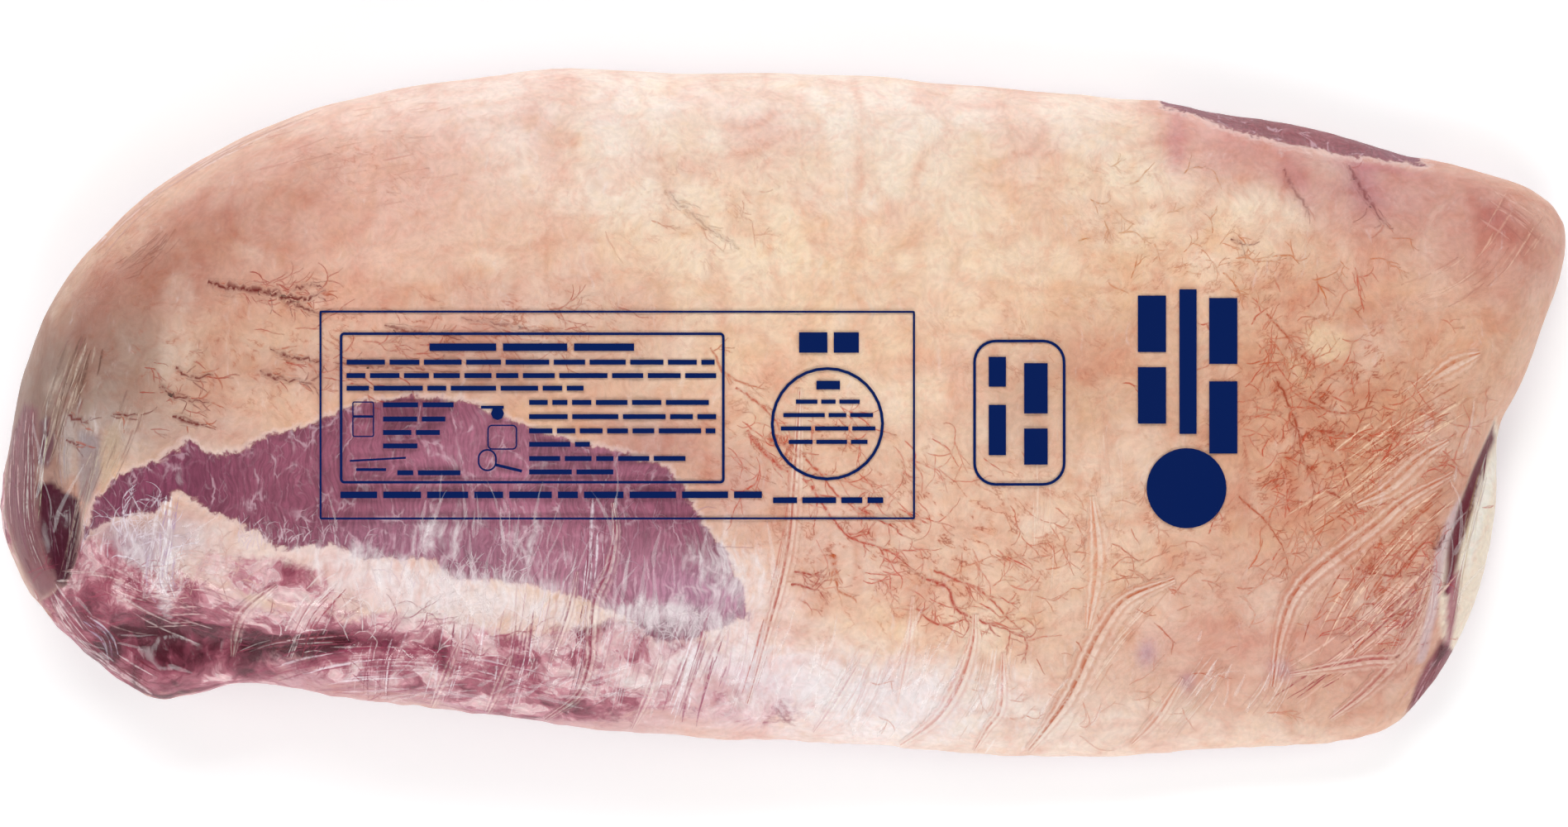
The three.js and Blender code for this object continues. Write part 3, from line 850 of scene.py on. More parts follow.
def wandering_line(start, heading, length, step, wobble):
    """A plan line that wanders off from a start, like a vessel."""
    count = max(3, int(length / step))
    bend = RANDOM.normal(0, 0.4 * wobble)
    headings = heading + np.cumsum(bend + RANDOM.normal(0, wobble, count))
    steps = step * np.stack([np.cos(headings), np.sin(headings)], axis=1)
    return np.vstack([start, start + np.cumsum(steps, axis=0)])


def tapered(count, half_width, thin_start=0.35):
    """Half widths that swell from one end and run out at the other."""
    share = np.linspace(0, 1, count)
    return half_width * np.minimum(1, thin_start + 4 * share) * np.sqrt(np.clip(1 - share, 0.02, 1))


MARK_LIFT = 0.10 * MM
EDGE_LIFT = 0.02 * MM
PLEAT_WIDENING = 1.6          # what the tables' widths and heights are multiplied by
PLEAT_FLATTENING = 0.2
HALO_WIDENING = 3.2
STREAK_WIDENING = 2.8
VESSEL_WIDENING = 2.2
BRANCH_WIDENING = 1.4


def soft_line(code):
    """The section of a thin line that fades out on both sides."""
    tint = under_film(code)
    return [(-1, EDGE_LIFT, 0, tint), (0, 2 * MARK_LIFT, 1, tint), (1, EDGE_LIFT, 0, tint)]


def smear(code, layer=1):
    """The section of a broader, uneven smear, laid over what lower layers show."""
    tint = under_film(code)
    shares = [(-1, 0), (-0.5, 0.65), (0.05, 1), (0.5, 0.5), (1, 0)]
    return [(share, layer * MARK_LIFT, mark, tint) for share, mark in shares]


def pleat_section(code, height):
    """The section of a pleat: fine pale ridges, partly painted highlight, with lines of juice beside
    them.
    """
    # The pale tint on the crest is partly painted highlight
    pale = under_film("f4e2d6")
    juice = under_film(code)
    across = [
        (-1.0, 0.0, 0.0, pale), (-0.7, 0.3, 0.3, pale), (-0.45, 0.3, 0.3, juice),
        (-0.25, 1.0, 0.6, pale), (-0.05, 0.7, 0.3, pale), (0.12, 0.1, 1.0, juice),
        (0.32, 0.1, 0.6, juice), (0.5, 0.5, 0.5, pale), (0.72, 0.1, 0.5, juice), (1.0, 0.0, 0.0, juice),
    ]
    return [(share, 1.5 * MARK_LIFT + height * rise, mark, tint) for share, rise, mark, tint in across]


def add_vessel(ribbons, start, heading, length, half_width, code, mark, depth=0):
    """One wandering vessel and its branches."""
    plan = wandering_line(start, heading, length, 1.1 * MM, 0.2)
    widths = tapered(len(plan), half_width) * RANDOM.uniform(0.7, 1.3, len(plan))
    ribbons.add(plan, widths, soft_line(code), mark)
    if depth < 2:
        for _ in range(RANDOM.integers(0, 3)):
            index = RANDOM.integers(1, len(plan) - 1)
            turn = RANDOM.choice([-1, 1]) * RANDOM.uniform(0.3, 0.9)
            add_vessel(ribbons, plan[index], heading + turn, 0.6 * length,
                       0.8 * half_width, code, 0.85 * mark, depth + 1)


def line_heading(plan):
    toward = plan[-1] - plan[0]
    return math.atan2(toward[1], toward[0])


def add_streaks(ribbons):
    """Placed streaks of blood, each frayed by finer smears beside it."""
    for line, half_width, strength in STREAKS:
        plan = even_line(line, 1.2 * MM)
        plan = plan + 0.35 * MM * RANDOM.normal(0, 1, plan.shape)
        halo = even_line(line, 2.5 * MM)
        ribbons.add(halo, tapered(len(halo), HALO_WIDENING * half_width * MM), smear(BROWN_BLOOD),
                    0.55 * strength)
        widths = tapered(len(plan), STREAK_WIDENING * half_width * MM)
        widths *= RANDOM.uniform(0.4, 1.3, len(plan))
        ribbons.add(plan, widths, smear(DARK_BLOOD, 2), min(1, 1.35 * strength))
        for _ in range(4 + len(plan) // 5):
            start = plan[RANDOM.integers(len(plan))] + 0.8 * MM * RANDOM.normal(0, 1, 2)
            heading = line_heading(plan) + RANDOM.normal(0, 0.3)
            add_vessel(ribbons, start, heading, RANDOM.uniform(3, 9) * MM,
                       RANDOM.uniform(0.4, 0.9) * MM, RANDOM.choice([DARK_BLOOD, BROWN_BLOOD]),
                       strength, 2)


def add_vessels(ribbons):
    """Placed vessels with small branches, and clusters of short ones."""
    for line, half_width, code in VESSELS:
        plan = even_line(line, 1.2 * MM)
        plan = plan + 0.4 * MM * np.cumsum(RANDOM.normal(0, 0.5, plan.shape), axis=0)
        widths = tapered(len(plan), VESSEL_WIDENING * half_width * MM, 0.6)
        widths *= RANDOM.uniform(0.5, 1.4, len(plan))
        ribbons.add(plan, widths, smear(code), 0.95)
        for _ in range(2 + len(plan) // 7):
            start = plan[RANDOM.integers(len(plan))]
            heading = line_heading(plan) + RANDOM.choice([-1, 1]) * RANDOM.uniform(0.2, 1.0)
            add_vessel(ribbons, start, heading, RANDOM.uniform(4, 10) * MM,
                       BRANCH_WIDENING * half_width * MM, code, 0.85)
    for place, half_sizes, count, length, heading, spread, code in CLUSTERS:
        for _ in range(count):
            away = RANDOM.normal(0, 0.55, 2) * half_sizes
            start = spots(place)[0] + away * UNIT
            angle = math.radians(heading + RANDOM.uniform(-spread, spread))
            add_vessel(ribbons, start, angle, length * MM * RANDOM.uniform(0.7, 1.8),
                       RANDOM.uniform(0.35, 0.6) * MM, code, RANDOM.uniform(0.5, 1.0))


def add_bundles(ribbons):
    """Strands of film, membrane and juice that run side by side, as stretched film draws them; the pale
    strands of film are painted highlights along its wrinkles.
    """
    for line, spread, count, cover, half_width, codes, strength in BUNDLES:
        whole = even_line(line, 1.6 * MM)
        side = sideways(whole)
        for _ in range(count):
            length = max(4, int(cover * len(whole) * RANDOM.uniform(0.4, 1.5)))
            first = RANDOM.integers(0, max(1, len(whole) - length))
            part = slice(first, first + length)
            rows = len(whole[part])
            drift = RANDOM.normal(0, 0.5 * spread) + np.linspace(0, RANDOM.normal(0, 0.8), rows)
            drift = drift + np.cumsum(RANDOM.normal(0, 0.07, rows))
            plan = whole[part] + side[part] * drift[:, None] * MM
            widths = tapered(rows, half_width * MM * RANDOM.uniform(0.6, 1.6), 0.1)
            mark = strength * RANDOM.uniform(0.5, 1.3)
            ribbons.add(plan, widths, soft_line(codes[RANDOM.integers(len(codes))]), min(1, mark))


def add_pleats(ribbons):
    """The pleats of the film, with the meat's juice drawn up into them."""
    for line, half_width, height, code in PLEATS:
        plan = even_line(line, 1.0 * MM)
        share = np.linspace(0, 1, len(plan))
        widths = PLEAT_WIDENING * half_width * MM * (0.35 + np.sin(np.pi * np.clip(share, 0.03, 0.97)))
        widths *= RANDOM.uniform(0.9, 1.1, len(plan))
        marks = np.interp(share, np.linspace(0, 1, 7), RANDOM.uniform(0.6, 1.0, 7))
        ribbons.add(plan, widths, pleat_section(code, PLEAT_FLATTENING * height * MM), marks)


def marks_piece(meat_surface, material):
    """Pleats, strands, streaks and vessels, in the meat's own material."""
    ribbons = Ribbons(meat_surface)
    add_pleats(ribbons)
    add_bundles(ribbons)
    add_streaks(ribbons)
    add_vessels(ribbons)
    mesh = ribbons.mesh("marks")
    points = np.array([tuple(p) for p in ribbons.points])
    normals = np.array([tuple(n) for n in ribbons.normals])
    facts = surface_facts(points, normals)
    facts["mark"] = np.array(ribbons.marks)
    facts["mark_paint"] = np.array([tuple(t) for t in ribbons.tints])
    write_facts(mesh, facts)
    return piece_from(mesh, "vessels_and_juice", material)


def fold_section(height):
    """The section of a film fold, standing a little out of the film."""
    rises = [(-1, 0.0), (-0.5, 0.45), (0, 1.0), (0.35, 0.5), (1, 0.0)]
    return [(share, 0.02 * MM + height * rise, 0, (0, 0, 0)) for share, rise in rises]


def folds_piece(film_surface, material):
    """The short folds where the film gathers."""
    ribbons = Ribbons(film_surface)
    for place, half_sizes, count, length, heading, spread in GATHERS:
        for _ in range(count):
            start = spots(place)[0] + RANDOM.normal(0, 0.6, 2) * half_sizes * UNIT
            angle = math.radians(heading + RANDOM.normal(0, spread / 2))
            long = length * MM * RANDOM.uniform(0.4, 1.4)
            plan = wandering_line(start, angle, long, 1.5 * MM, 0.07)
            widths = tapered(len(plan), RANDOM.uniform(0.35, 1.0) * MM)
            ribbons.add(plan, widths, fold_section(RANDOM.uniform(0.15, 0.4) * MM))
    return piece_from(ribbons.mesh("film_folds"), "film_folds", material)


# ---------------------------------------------------------------- print on the film

# Blocks of plain bars that stand for lines of small print: left end, height of the bars, and
# each line's right end and place across
ROWS = [
    (-449, 9.5, [(-190, 84)]),
    (-554, 6.3, [(-88, 65), (-86, 48), (-254, 32)]),
    (-508, 6.3, [(-410, 11), (-429, -7), (-433, -24), (-455, -41)]),
    (-490, 6.3, [(-410, -75)]),
    (-323, 6.3, [(-91, 14), (-86, -4), (-87, -22), (-246, -39), (-125, -57), (-210, -74)]),
    (-562, 8.4, [(-28, -103)]),
    (-14, 7.4, [(126, -110)]),
    (41, 11, [(71, 36)]),
    (15, 5.3, [(96, 15)]),
    (-1, 5.3, [(113, -2)]),
    (-4, 5.3, [(116, -19)]),
    (6, 5.3, [(106, -36)]),
]

# Single bars of ink: centre and half sizes
BARS = [
    ((37, 90), (18, 13)),
    ((79, 90), (16, 13)),
    ((514, 66), (11, 92)),
    ((468, 114), (18, 36)),
    ((468, 23), (18, 36)),
    ((559, 105), (18, 42)),
    ((559, -5), (18, 46)),
    ((271, 53), (11, 19)),
    ((271, -21), (11, 32)),
    ((320, 32), (15, 32)),
    ((320, -42), (15, 23)),
]

# Drawn outlines: centre, half sizes, corner radius and width of the line
OUTLINES = [
    ((-211, -2), (376, 131), 1.1, 2.7),
    ((-319, 7), (242, 94), 4.2, 3.4),
    ((55, -13), (70, 70), 70, 3.8),
    ((299, 1), (57, 91), 27, 3.6),
    ((-533, 5), (13, 9.5), 2.1, 1.7),
    ((-533, -16), (13, 13), 2.1, 1.7),
    ((-357, -30), (18, 15), 5.3, 1.9),
    ((-376, -59), (11, 13), 11, 2.3),
]

# Discs of ink: centre and radius
DISCS = [
    ((512, -95), 51),
    ((-363, 0), 8.4),
]

# Fine lines of ink in the small pictures: ends and half width
STROKES = [
    ((-550, -60), (-479, -56), 1.3),
    ((-542, -71), (-504, -71), 1.9),
    ((-365, -65), (-332, -73), 1.9),
    ((-384, 8), (-355, 8), 1.9),
]

INK_STEP = 2.4 * MM


class Print:
    """Flat shapes of ink laid on the film."""

    def __init__(self, film_surface):
        self.surface = film_surface
        self.points = []
        self.faces = []

    def strip(self, lefts, rights):
        """Fills the plan area between two lines that have the same number of points."""
        widest = np.max(np.linalg.norm(rights - lefts, axis=1))
        across = max(1, math.ceil(widest / INK_STEP))
        first = len(self.points)
        for left, right in zip(lefts, rights):
            for j in range(across + 1):
                x, y = left + (right - left) * j / across
                point, normal = self.surface.under(x, y)
                self.points.append(point + normal * INK_LIFT)
        self.faces.extend(grid_faces(first, len(lefts), across + 1))

    def bar(self, centre, half_width, half_height):
        count = 1 + max(1, math.ceil(2 * half_width / INK_STEP))
        x = np.linspace(centre[0] - half_width, centre[0] + half_width, count)
        lefts = np.stack([x, np.full(count, centre[1] - half_height)], axis=1)
        rights = np.stack([x, np.full(count, centre[1] + half_height)], axis=1)
        self.strip(lefts, rights)

    def stroke(self, line, half_width):
        """A drawn line of even width."""
        side = half_width * sideways(line)
        self.strip(line + side, line - side)

    def outline(self, centre, half_sizes, radius, width):
        """The outline of a rectangle with rounded corners; a ring when the radius fills it."""
        radius = min(radius, *half_sizes)
        corners = []
        for quarter in range(4):
            middle = centre + (half_sizes - radius) * [(1, 1), (-1, 1), (-1, -1), (1, -1)][quarter]
            for turn in np.linspace(0, math.pi / 2, 9):
                angle = turn + quarter * math.pi / 2
                corners.append(middle + radius * np.array([math.cos(angle), math.sin(angle)]))
        corners.append(corners[0])
        line = [corners[0]]
        for start, end in zip(corners[:-1], corners[1:]):
            parts = math.ceil(np.linalg.norm(end - start) / INK_STEP)
            for part in range(parts):
                line.append(start + (end - start) * (part + 1) / parts)
        self.stroke(np.array(line), width / 2)

    def disc(self, centre, radius):
        count = 1 + math.ceil(2 * radius / (0.6 * INK_STEP))
        turn = np.linspace(0.02, math.pi - 0.02, count)
        x = centre[0] - radius * np.cos(turn)
        rise = radius * np.sin(turn)
        self.strip(np.stack([x, centre[1] - rise], axis=1), np.stack([x, centre[1] + rise], axis=1))

    def row(self, start, end, height):
        """A row of short bars with gaps, as lines of small print look from afar."""
        place = start[0]
        while place < end[0] - height:
            length = min(RANDOM.uniform(3, 10) * height, end[0] - place)
            self.bar((place + length / 2, start[1]), length / 2, height / 2)
            place += length + 0.9 * height


def print_piece(film_surface, material):
    ink = Print(film_surface)
    for left, height, lines in ROWS:
        for right, across in lines:
            ink.row(spots((left, across))[0], spots((right, across))[0], height * UNIT)
    for centre, half_sizes in BARS:
        ink.bar(spots(centre)[0], half_sizes[0] * UNIT, half_sizes[1] * UNIT)
    for centre, half_sizes, radius, width in OUTLINES:
        ink.outline(spots(centre)[0], np.array(half_sizes) * UNIT, radius * UNIT, width * UNIT)
    for centre, radius in DISCS:
        ink.disc(spots(centre)[0], radius * UNIT)
    for start, end, half_width in STROKES:
        ink.stroke(even_line([start, end], INK_STEP), half_width * UNIT)
    return piece_from(new_mesh("film_print", ink.points, ink.faces), "film_print", material)


# ---------------------------------------------------------------- materials

class Shader:
    """A new material, with short ways to add the nodes it needs."""

    def __init__(self, name):
        self.material = bpy.data.materials.new(name)
        self.material.use_nodes = True
        self.nodes = self.material.node_tree.nodes
        self.links = self.material.node_tree.links
        self.main = self.nodes["Principled BSDF"]
        self.place = self.nodes.new("ShaderNodeTexCoord").outputs["Object"]

    def put(self, socket, value):
        if isinstance(value, bpy.types.NodeSocket):
            self.links.new(value, socket)
        else:
            socket.default_value = value

    def fact(self, name, kind="Fac"):
        node = self.nodes.new("ShaderNodeAttribute")
        node.attribute_name = name
        return node.outputs[kind]

    def math(self, operation, first, second=0.0, third=0.0):
        node = self.nodes.new("ShaderNodeMath")
        node.operation = operation
        for socket, value in zip(node.inputs, (first, second, third)):
            self.put(socket, value)
        return node.outputs[0]

    def times(self, first, second):
        return self.math("MULTIPLY", first, second)

    def ramp(self, value, low, high, to_low=0.0, to_high=1.0):
        node = self.nodes.new("ShaderNodeMapRange")
        node.interpolation_type = "SMOOTHSTEP"
        for socket, number in zip(node.inputs, (value, low, high, to_low, to_high)):
            self.put(socket, number)
        return node.outputs[0]

    def mix(self, share, first, second, blend="MIX"):
        node = self.nodes.new("ShaderNodeMix")
        node.data_type = "RGBA"
        node.blend_type = blend
        self.put(node.inputs[0], share)
        self.put(node.inputs[6], first)
        self.put(node.inputs[7], second)
        return node.outputs[2]

    def steps(self, value, stops):
        """A colour that goes through hex colours as the value rises."""
        node = self.nodes.new("ShaderNodeValToRGB")
        ramp = node.color_ramp
        ramp.elements[0].position, ramp.elements[1].position = stops[0][0], stops[-1][0]
        for position, _ in stops[1:-1]:
            ramp.elements.new(position)
        for element, (_, code) in zip(ramp.elements, stops):
            element.color = flat(code)
        self.put(node.inputs[0], value)
        return node.outputs[0]

    def turned(self, place, angle):
        """The place turned about the upright axis."""
        node = self.nodes.new("ShaderNodeVectorRotate")
        node.rotation_type = "Z_AXIS"
        node.inputs["Angle"].default_value = angle
        self.put(node.inputs["Vector"], place)
        return node.outputs[0]

    def stretched(self, place, factors):
        node = self.nodes.new("ShaderNodeVectorMath")
        node.operation = "MULTIPLY"
        self.put(node.inputs[0], place)
        node.inputs[1].default_value = factors
        return node.outputs[0]

    def warped(self, place, lump, amount):
        """The place pushed about by noise."""
        noise = self.noise_node(place, lump, 2)
        centred = self.nodes.new("ShaderNodeVectorMath")
        centred.operation = "MULTIPLY_ADD"
        self.put(centred.inputs[0], noise.outputs["Color"])
        centred.inputs[1].default_value = (2 * amount,) * 3
        centred.inputs[2].default_value = (-amount,) * 3
        total = self.nodes.new("ShaderNodeVectorMath")
        self.put(total.inputs[0], place)
        self.put(total.inputs[1], centred.outputs[0])
        return total.outputs[0]

    def noise_node(self, place, lump, detail, roughness=0.55):
        node = self.nodes.new("ShaderNodeTexNoise")
        self.put(node.inputs["Vector"], place)
        node.inputs["Scale"].default_value = 1 / lump
        node.inputs["Detail"].default_value = detail
        node.inputs["Roughness"].default_value = roughness
        return node

    def noise(self, place, lump, detail=3, roughness=0.55):
        return self.noise_node(place, lump, detail, roughness).outputs["Fac"]

    def cells(self, place, size):
        """How far each place is from the edge of its cell."""
        node = self.nodes.new("ShaderNodeTexVoronoi")
        node.feature = "DISTANCE_TO_EDGE"
        self.put(node.inputs["Vector"], place)
        node.inputs["Scale"].default_value = 1 / size
        return node.outputs["Distance"]

    def bump(self, height, distance):
        node = self.nodes.new("ShaderNodeBump")
        node.inputs["Strength"].default_value = 1.0
        node.inputs["Distance"].default_value = distance
        self.put(node.inputs["Height"], height)
        return node.outputs["Normal"]


def flat(code):
    """A hex colour as an RGBA value for a shader socket."""
    return (*paint(code), 1.0)


def tinted(shader, share, colour, code):
    """A colour multiplied by another where the share says so."""
    return shader.mix(share, colour, shader.mix(1.0, colour, flat(code), "MULTIPLY"))


def fine_vessels(shader, warp, mask, turn, broken):
    """Short broken red-brown lines that run one way, and the stain round them."""
    turned = shader.stretched(shader.turned(warp, turn), (0.55, 1.25, 1))
    value = shader.noise(turned, 8 * MM, 5, 0.62)
    away = shader.math("ABSOLUTE", shader.math("SUBTRACT", value, 0.5))
    amount = shader.times(broken, shader.fact(mask))
    line = shader.times(shader.ramp(away, 0.004, 0.022, 1.0, 0.0), amount)
    stain = shader.times(shader.ramp(away, 0.0, 0.10, 1.0, 0.0), amount)
    return line, stain


def fat_colour(shader, warp, broken):
    """The cap's fat with its fine vessels."""
    colour = shader.fact("fat_paint", "Color")
    for mask, turn in (("rising", -0.7), ("falling", 0.6)):
        line, stain = fine_vessels(shader, warp, mask, turn, broken)
        colour = tinted(shader, shader.times(stain, 0.5), colour, "edb9a0")
        colour = shader.mix(shader.times(line, 0.8), colour, flat("a04a30"))
    return colour


def lean_colour(shader, warp, broken):
    """Bared lean: fibres across the brisket, marbled with fine fat."""
    colour = shader.fact("lean_paint", "Color")
    fibre = shader.noise(shader.stretched(warp, (1, 0.09, 0.5)), 0.9 * MM, 3)
    colour = shader.mix(1.0, colour, shader.ramp(fibre, 0.3, 0.7, 0.78, 1.18), "MULTIPLY")
    bent = shader.warped(warp, 5 * MM, 2.2 * MM)
    vein = shader.cells(shader.stretched(bent, (1.3, 0.7, 1)), 13 * MM)
    broad = shader.ramp(vein, 0.0, shader.ramp(fibre, 0.3, 0.7, 0.02, 0.09), 1.0, 0.0)
    thread = shader.cells(shader.stretched(bent, (1.5, 0.6, 1)), 5 * MM)
    thin = shader.ramp(thread, 0.0, 0.06, 1.0, 0.0)
    fat = shader.math("MAXIMUM",
                      shader.times(broad, shader.math("MULTIPLY_ADD", broken, 0.6, 0.08)),
                      shader.times(thin, shader.times(broken, 0.22)))
    return shader.mix(shader.times(fat, 0.7), colour, flat("dcbcc6"))


def torn_colour(shader, warp):
    """Lean, fat and membrane torn through each other, as streaks from dark red to white, with painted
    shade in the hollow and thin painted highlights of film creases.
    """
    swirl = shader.warped(warp, 14 * MM, 8 * MM)
    value = shader.noise(shader.stretched(swirl, (1, 0.8, 1)), 13 * MM, 5, 0.6)
    tone_and_shade = shader.math("MULTIPLY_ADD", shader.fact("tone_and_shade"), 0.2, shader.math("ADD", value, -0.04))
    colour = shader.steps(tone_and_shade, [
        (0.22, "561a2a"), (0.34, "8c4254"), (0.42, "ad6272"), (0.49, "c88b95"),
        (0.56, "dcaeb2"), (0.64, "e8c9c8"), (0.78, "f3e6e4"),
    ])
    # Thin pale lines along one level are painted highlights of film creases; dark lines along the other
    # follow the creases too
    for level, code in ((0.53, "f6eaea"), (0.44, "7a2238")):
        away = shader.math("ABSOLUTE", shader.math("SUBTRACT", tone_and_shade, level))
        colour = shader.mix(shader.ramp(away, 0.0, 0.02, 0.38, 0.0), colour, flat(code))
    return colour, value


def meat_material():
    """Fat cap, bared lean and torn parts, told apart by what the mesh says is where."""
    shader = Shader("meat")
    warp = shader.warped(shader.place, 18 * MM, 6 * MM)
    uneven = shader.noise(warp, 4.5 * MM, 6, 0.65)
    ragged = shader.math("MULTIPLY_ADD", uneven, 1.2, -0.6)
    strands = shader.noise(shader.stretched(warp, (1, 0.22, 1)), 3.2 * MM, 4, 0.6)
    broken = shader.ramp(shader.noise(shader.place, 7 * MM, 3), 0.45, 0.60)

    torn, torn_value = torn_colour(shader, warp)
    torn = shader.mix(1.0, torn, shader.ramp(strands, 0.3, 0.7, 0.86, 1.10), "MULTIPLY")
    share = shader.math("MULTIPLY_ADD", ragged, 0.5, shader.fact("torn"))
    fat = fat_colour(shader, warp, broken)
    fat = tinted(shader, shader.ramp(uneven, 0.47, 0.66, 0.0, 0.25), fat, "f2c4b8")
    fat = tinted(shader, shader.ramp(uneven, 0.50, 0.34, 0.0, 0.2), fat, "faeed2")
    colour = shader.mix(shader.ramp(share, 0.38, 0.62), fat, torn)

    edge = shader.math("ADD", shader.fact("lean"), shader.math("MULTIPLY_ADD", strands, 0.6, -0.3))
    edge = shader.math("ADD", edge, ragged)
    colour = shader.mix(shader.ramp(edge, -0.16, 0.22), colour, lean_colour(shader, warp, broken))
    rim = shader.times(shader.ramp(edge, -0.40, -0.06), shader.ramp(edge, 0.10, -0.02))
    colour = shader.mix(shader.times(rim, 0.4), colour, flat("ecd5cf"))

    # White haze of membrane and film, and painted sheen of the film
    haze_and_sheen = shader.math("ADD", shader.fact("milk_and_sheen"), shader.math("MULTIPLY_ADD", strands, 1.8, -0.9))
    haze_and_sheen = shader.ramp(haze_and_sheen, 0.15, 1.0)
    colour = shader.mix(shader.times(haze_and_sheen, 0.8), colour, flat(MILK_AND_SHEEN_WHITE))
    grain = shader.noise(warp, 2.2 * MM, 3)
    colour = shader.mix(1.0, colour, shader.ramp(grain, 0.3, 0.7, 0.94, 1.06), "MULTIPLY")

    mark = shader.times(shader.fact("mark"), shader.ramp(grain, 0.35, 0.55, 0.3, 1.0))
    colour = shader.mix(mark, colour, shader.fact("mark_paint", "Color"))

    height = shader.math("MULTIPLY_ADD", shader.times(torn_value, shader.fact("torn")), 2.5,
                         uneven)
    main = shader.main
    shader.put(main.inputs["Base Color"], colour)
    shader.put(main.inputs["Normal"], shader.bump(height, 0.7 * MM))
    shader.put(main.inputs["Roughness"], shader.ramp(strands, 0.2, 0.8, 0.34, 0.5))
    main.inputs["Specular IOR Level"].default_value = 0.16
    main.inputs["Coat Weight"].default_value = 0.05
    main.inputs["Coat Roughness"].default_value = 0.15
    return shader.material


def film_material():
    """Thin clear film: all that is seen of it is what it mirrors."""
    shader = Shader("film")
    main = shader.main
    main.inputs["Base Color"].default_value = (1.0, 1.0, 1.0, 1.0)
    main.inputs["Metallic"].default_value = 1.0
    main.inputs["Roughness"].default_value = 0.12
    main.inputs["Alpha"].default_value = 0.028
    drawn = shader.stretched(shader.warped(shader.place, 20 * MM, 6 * MM), (1, 0.3, 0.5))
    shader.put(main.inputs["Normal"], shader.bump(shader.noise(drawn, 5 * MM, 4, 0.6), 0.3 * MM))
    return shader.material


def fold_material():
    """Film folded on itself, which is a little milky."""
    shader = Shader("folded_film")
    main = shader.main
    main.inputs["Base Color"].default_value = (1.0, 0.96, 0.96, 1.0)
    main.inputs["Roughness"].default_value = 0.15
    main.inputs["Alpha"].default_value = 0.16
    return shader.material


def ink_material():
    shader = Shader("ink")
    main = shader.main
    main.inputs["Base Color"].default_value = flat(NAVY)
    main.inputs["Roughness"].default_value = 0.6
    main.inputs["Specular IOR Level"].default_value = 0.2
    return shader.material


# ---------------------------------------------------------------- the brisket and its film

skin = fine_skin()
skin_points = read_points(skin)
skin_normals = read_points(skin, "normal")
facts = surface_facts(skin_points, skin_normals)
meat_height = meat_relief(skin_points, skin_normals, facts)
film_height = np.maximum(meat_height, film_relief(skin_points)) + FILM_GAP

meat_mesh = moved_copy(skin, skin_points + meat_height[:, None] * skin_normals)
write_facts(meat_mesh, facts)
film_mesh = moved_copy(skin, skin_points + film_height[:, None] * skin_normals)
meat_surface = Surface(meat_mesh)
film_surface = Surface(film_mesh)

beef = meat_material()
folded = fold_material()
meat = piece_from(meat_mesh, "brisket_meat", beef)
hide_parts(NODE)
marks_piece(meat_surface, beef)
film = piece_from(film_mesh, "shrink_film", film_material())
folds = folds_piece(film_surface, folded)
for clear in (film, folds):
    clear.visible_shadow = False
    clear.visible_diffuse = False
print_piece(film_surface, ink_material())


# ---------------------------------------------------------------- floor, light and camera

def floor():
    """A plain pale floor just under the brisket."""
    reach = 12.0
    corners = [(-reach, -reach, 0), (reach, -reach, 0), (reach, reach, 0), (-reach, reach, 0)]
    mesh = new_mesh("floor", corners, [(0, 1, 2, 3)])
    shader = Shader("floor")
    shader.main.inputs["Base Color"].default_value = (0.95, 0.95, 0.95, 1.0)
    shader.main.inputs["Emission Color"].default_value = (1.0, 1.0, 1.0, 1.0)
    shader.main.inputs["Emission Strength"].default_value = 0.25
    shader.main.inputs["Roughness"].default_value = 0.9
    mesh.materials.append(shader.material)
    piece = bpy.data.objects.new("floor", mesh)
    piece.location.z = -FLOOR_GAP
    bpy.context.collection.objects.link(piece)


# Lamps: name, place, size, watts and whether the film mirrors it
LAMPS = [
    ("back", (-0.4, 1.9, 1.9), (2.4, 1.2), 47, False),
    ("front", (0.4, -1.9, 1.9), (2.4, 1.2), 34, False),
    ("left", (-2.1, -0.2, 1.7), (1.2, 1.6), 8, False),
    ("right", (2.1, 0.2, 1.7), (1.2, 1.6), 11, False),
    ("front_strip", (-1.2, -2.2, 1.5), (1.8, 0.25), 12, True),
]


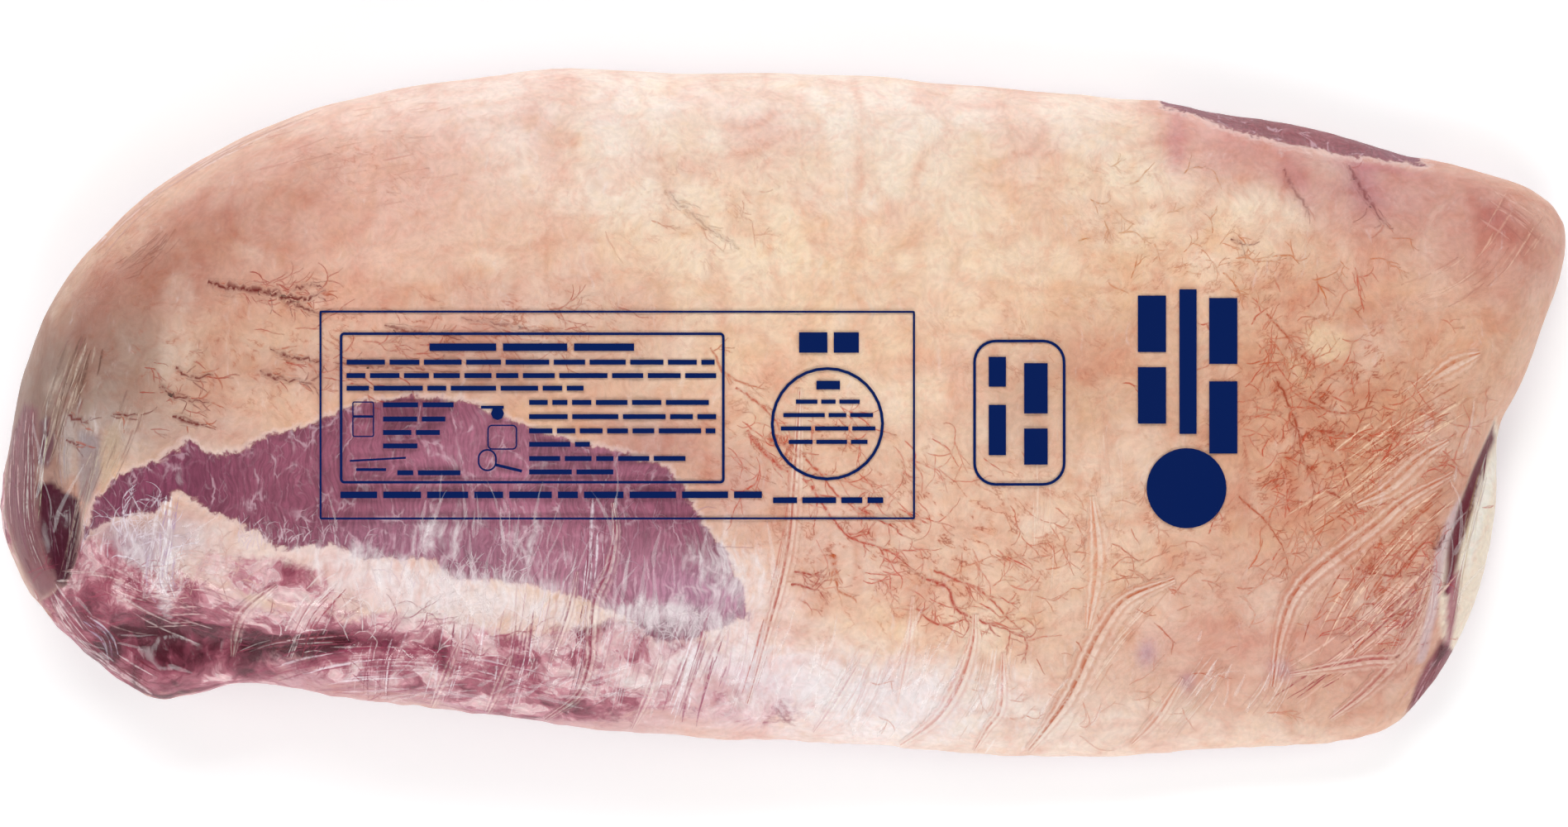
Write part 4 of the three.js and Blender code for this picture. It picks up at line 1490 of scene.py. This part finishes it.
def softbox(name, place, size, power, mirrored):
    """A lamp that looks at the brisket's middle, and that the film may or may not mirror."""
    lamp = bpy.data.lights.new(name, "AREA")
    lamp.shape = "RECTANGLE"
    lamp.size, lamp.size_y = size
    lamp.energy = power
    piece = bpy.data.objects.new(name, lamp)
    piece.visible_glossy = mirrored
    piece.location = place
    piece.rotation_euler = (Vector((0, 0, TOP / 2)) - piece.location).to_track_quat("-Z", "Y").to_euler()
    bpy.context.collection.objects.link(piece)


def surroundings(horizon, overhead):
    """White light from all round, dim overhead so that the film has little to mirror."""
    world = bpy.data.worlds.new("studio")
    world.use_nodes = True
    nodes = world.node_tree.nodes
    links = world.node_tree.links
    direction = nodes.new("ShaderNodeTexCoord")
    parts = nodes.new("ShaderNodeSeparateXYZ")
    ramp = nodes.new("ShaderNodeMapRange")
    ramp.interpolation_type = "SMOOTHSTEP"
    for socket, number in zip(ramp.inputs[1:5], (0.0, 0.5, horizon, overhead)):
        socket.default_value = number
    links.new(direction.outputs["Generated"], parts.inputs[0])
    links.new(parts.outputs["Z"], ramp.inputs["Value"])
    light = nodes["Background"]
    light.inputs["Color"].default_value = (1.0, 1.0, 1.0, 1.0)
    links.new(ramp.outputs[0], light.inputs["Strength"])
    bpy.context.scene.world = world


CAMERA_HEIGHT = 7.0           # far enough off for the print to lie as in the photograph
RIM_HEIGHT = 0.033            # the brisket's outline is about this high up
SENSOR = 36.0                 # mm


def camera():
    """Straight above, as the brisket is seen from, filling the picture's width."""
    lens = bpy.data.cameras.new("camera")
    lens.sensor_width = SENSOR
    lens.lens = SENSOR * (CAMERA_HEIGHT - RIM_HEIGHT) / (2 * HALF)
    lens.clip_end = 30.0
    piece = bpy.data.objects.new("camera", lens)
    piece.location = ((LOW.x + HIGH.x) / 2, (LOW.y + HIGH.y) / 2, CAMERA_HEIGHT)
    bpy.context.collection.objects.link(piece)
    bpy.context.scene.camera = piece


floor()
for lamp in LAMPS:
    softbox(*lamp)
surroundings(0.75, 0.13)
camera()
bpy.context.scene.view_settings.view_transform = "Standard"
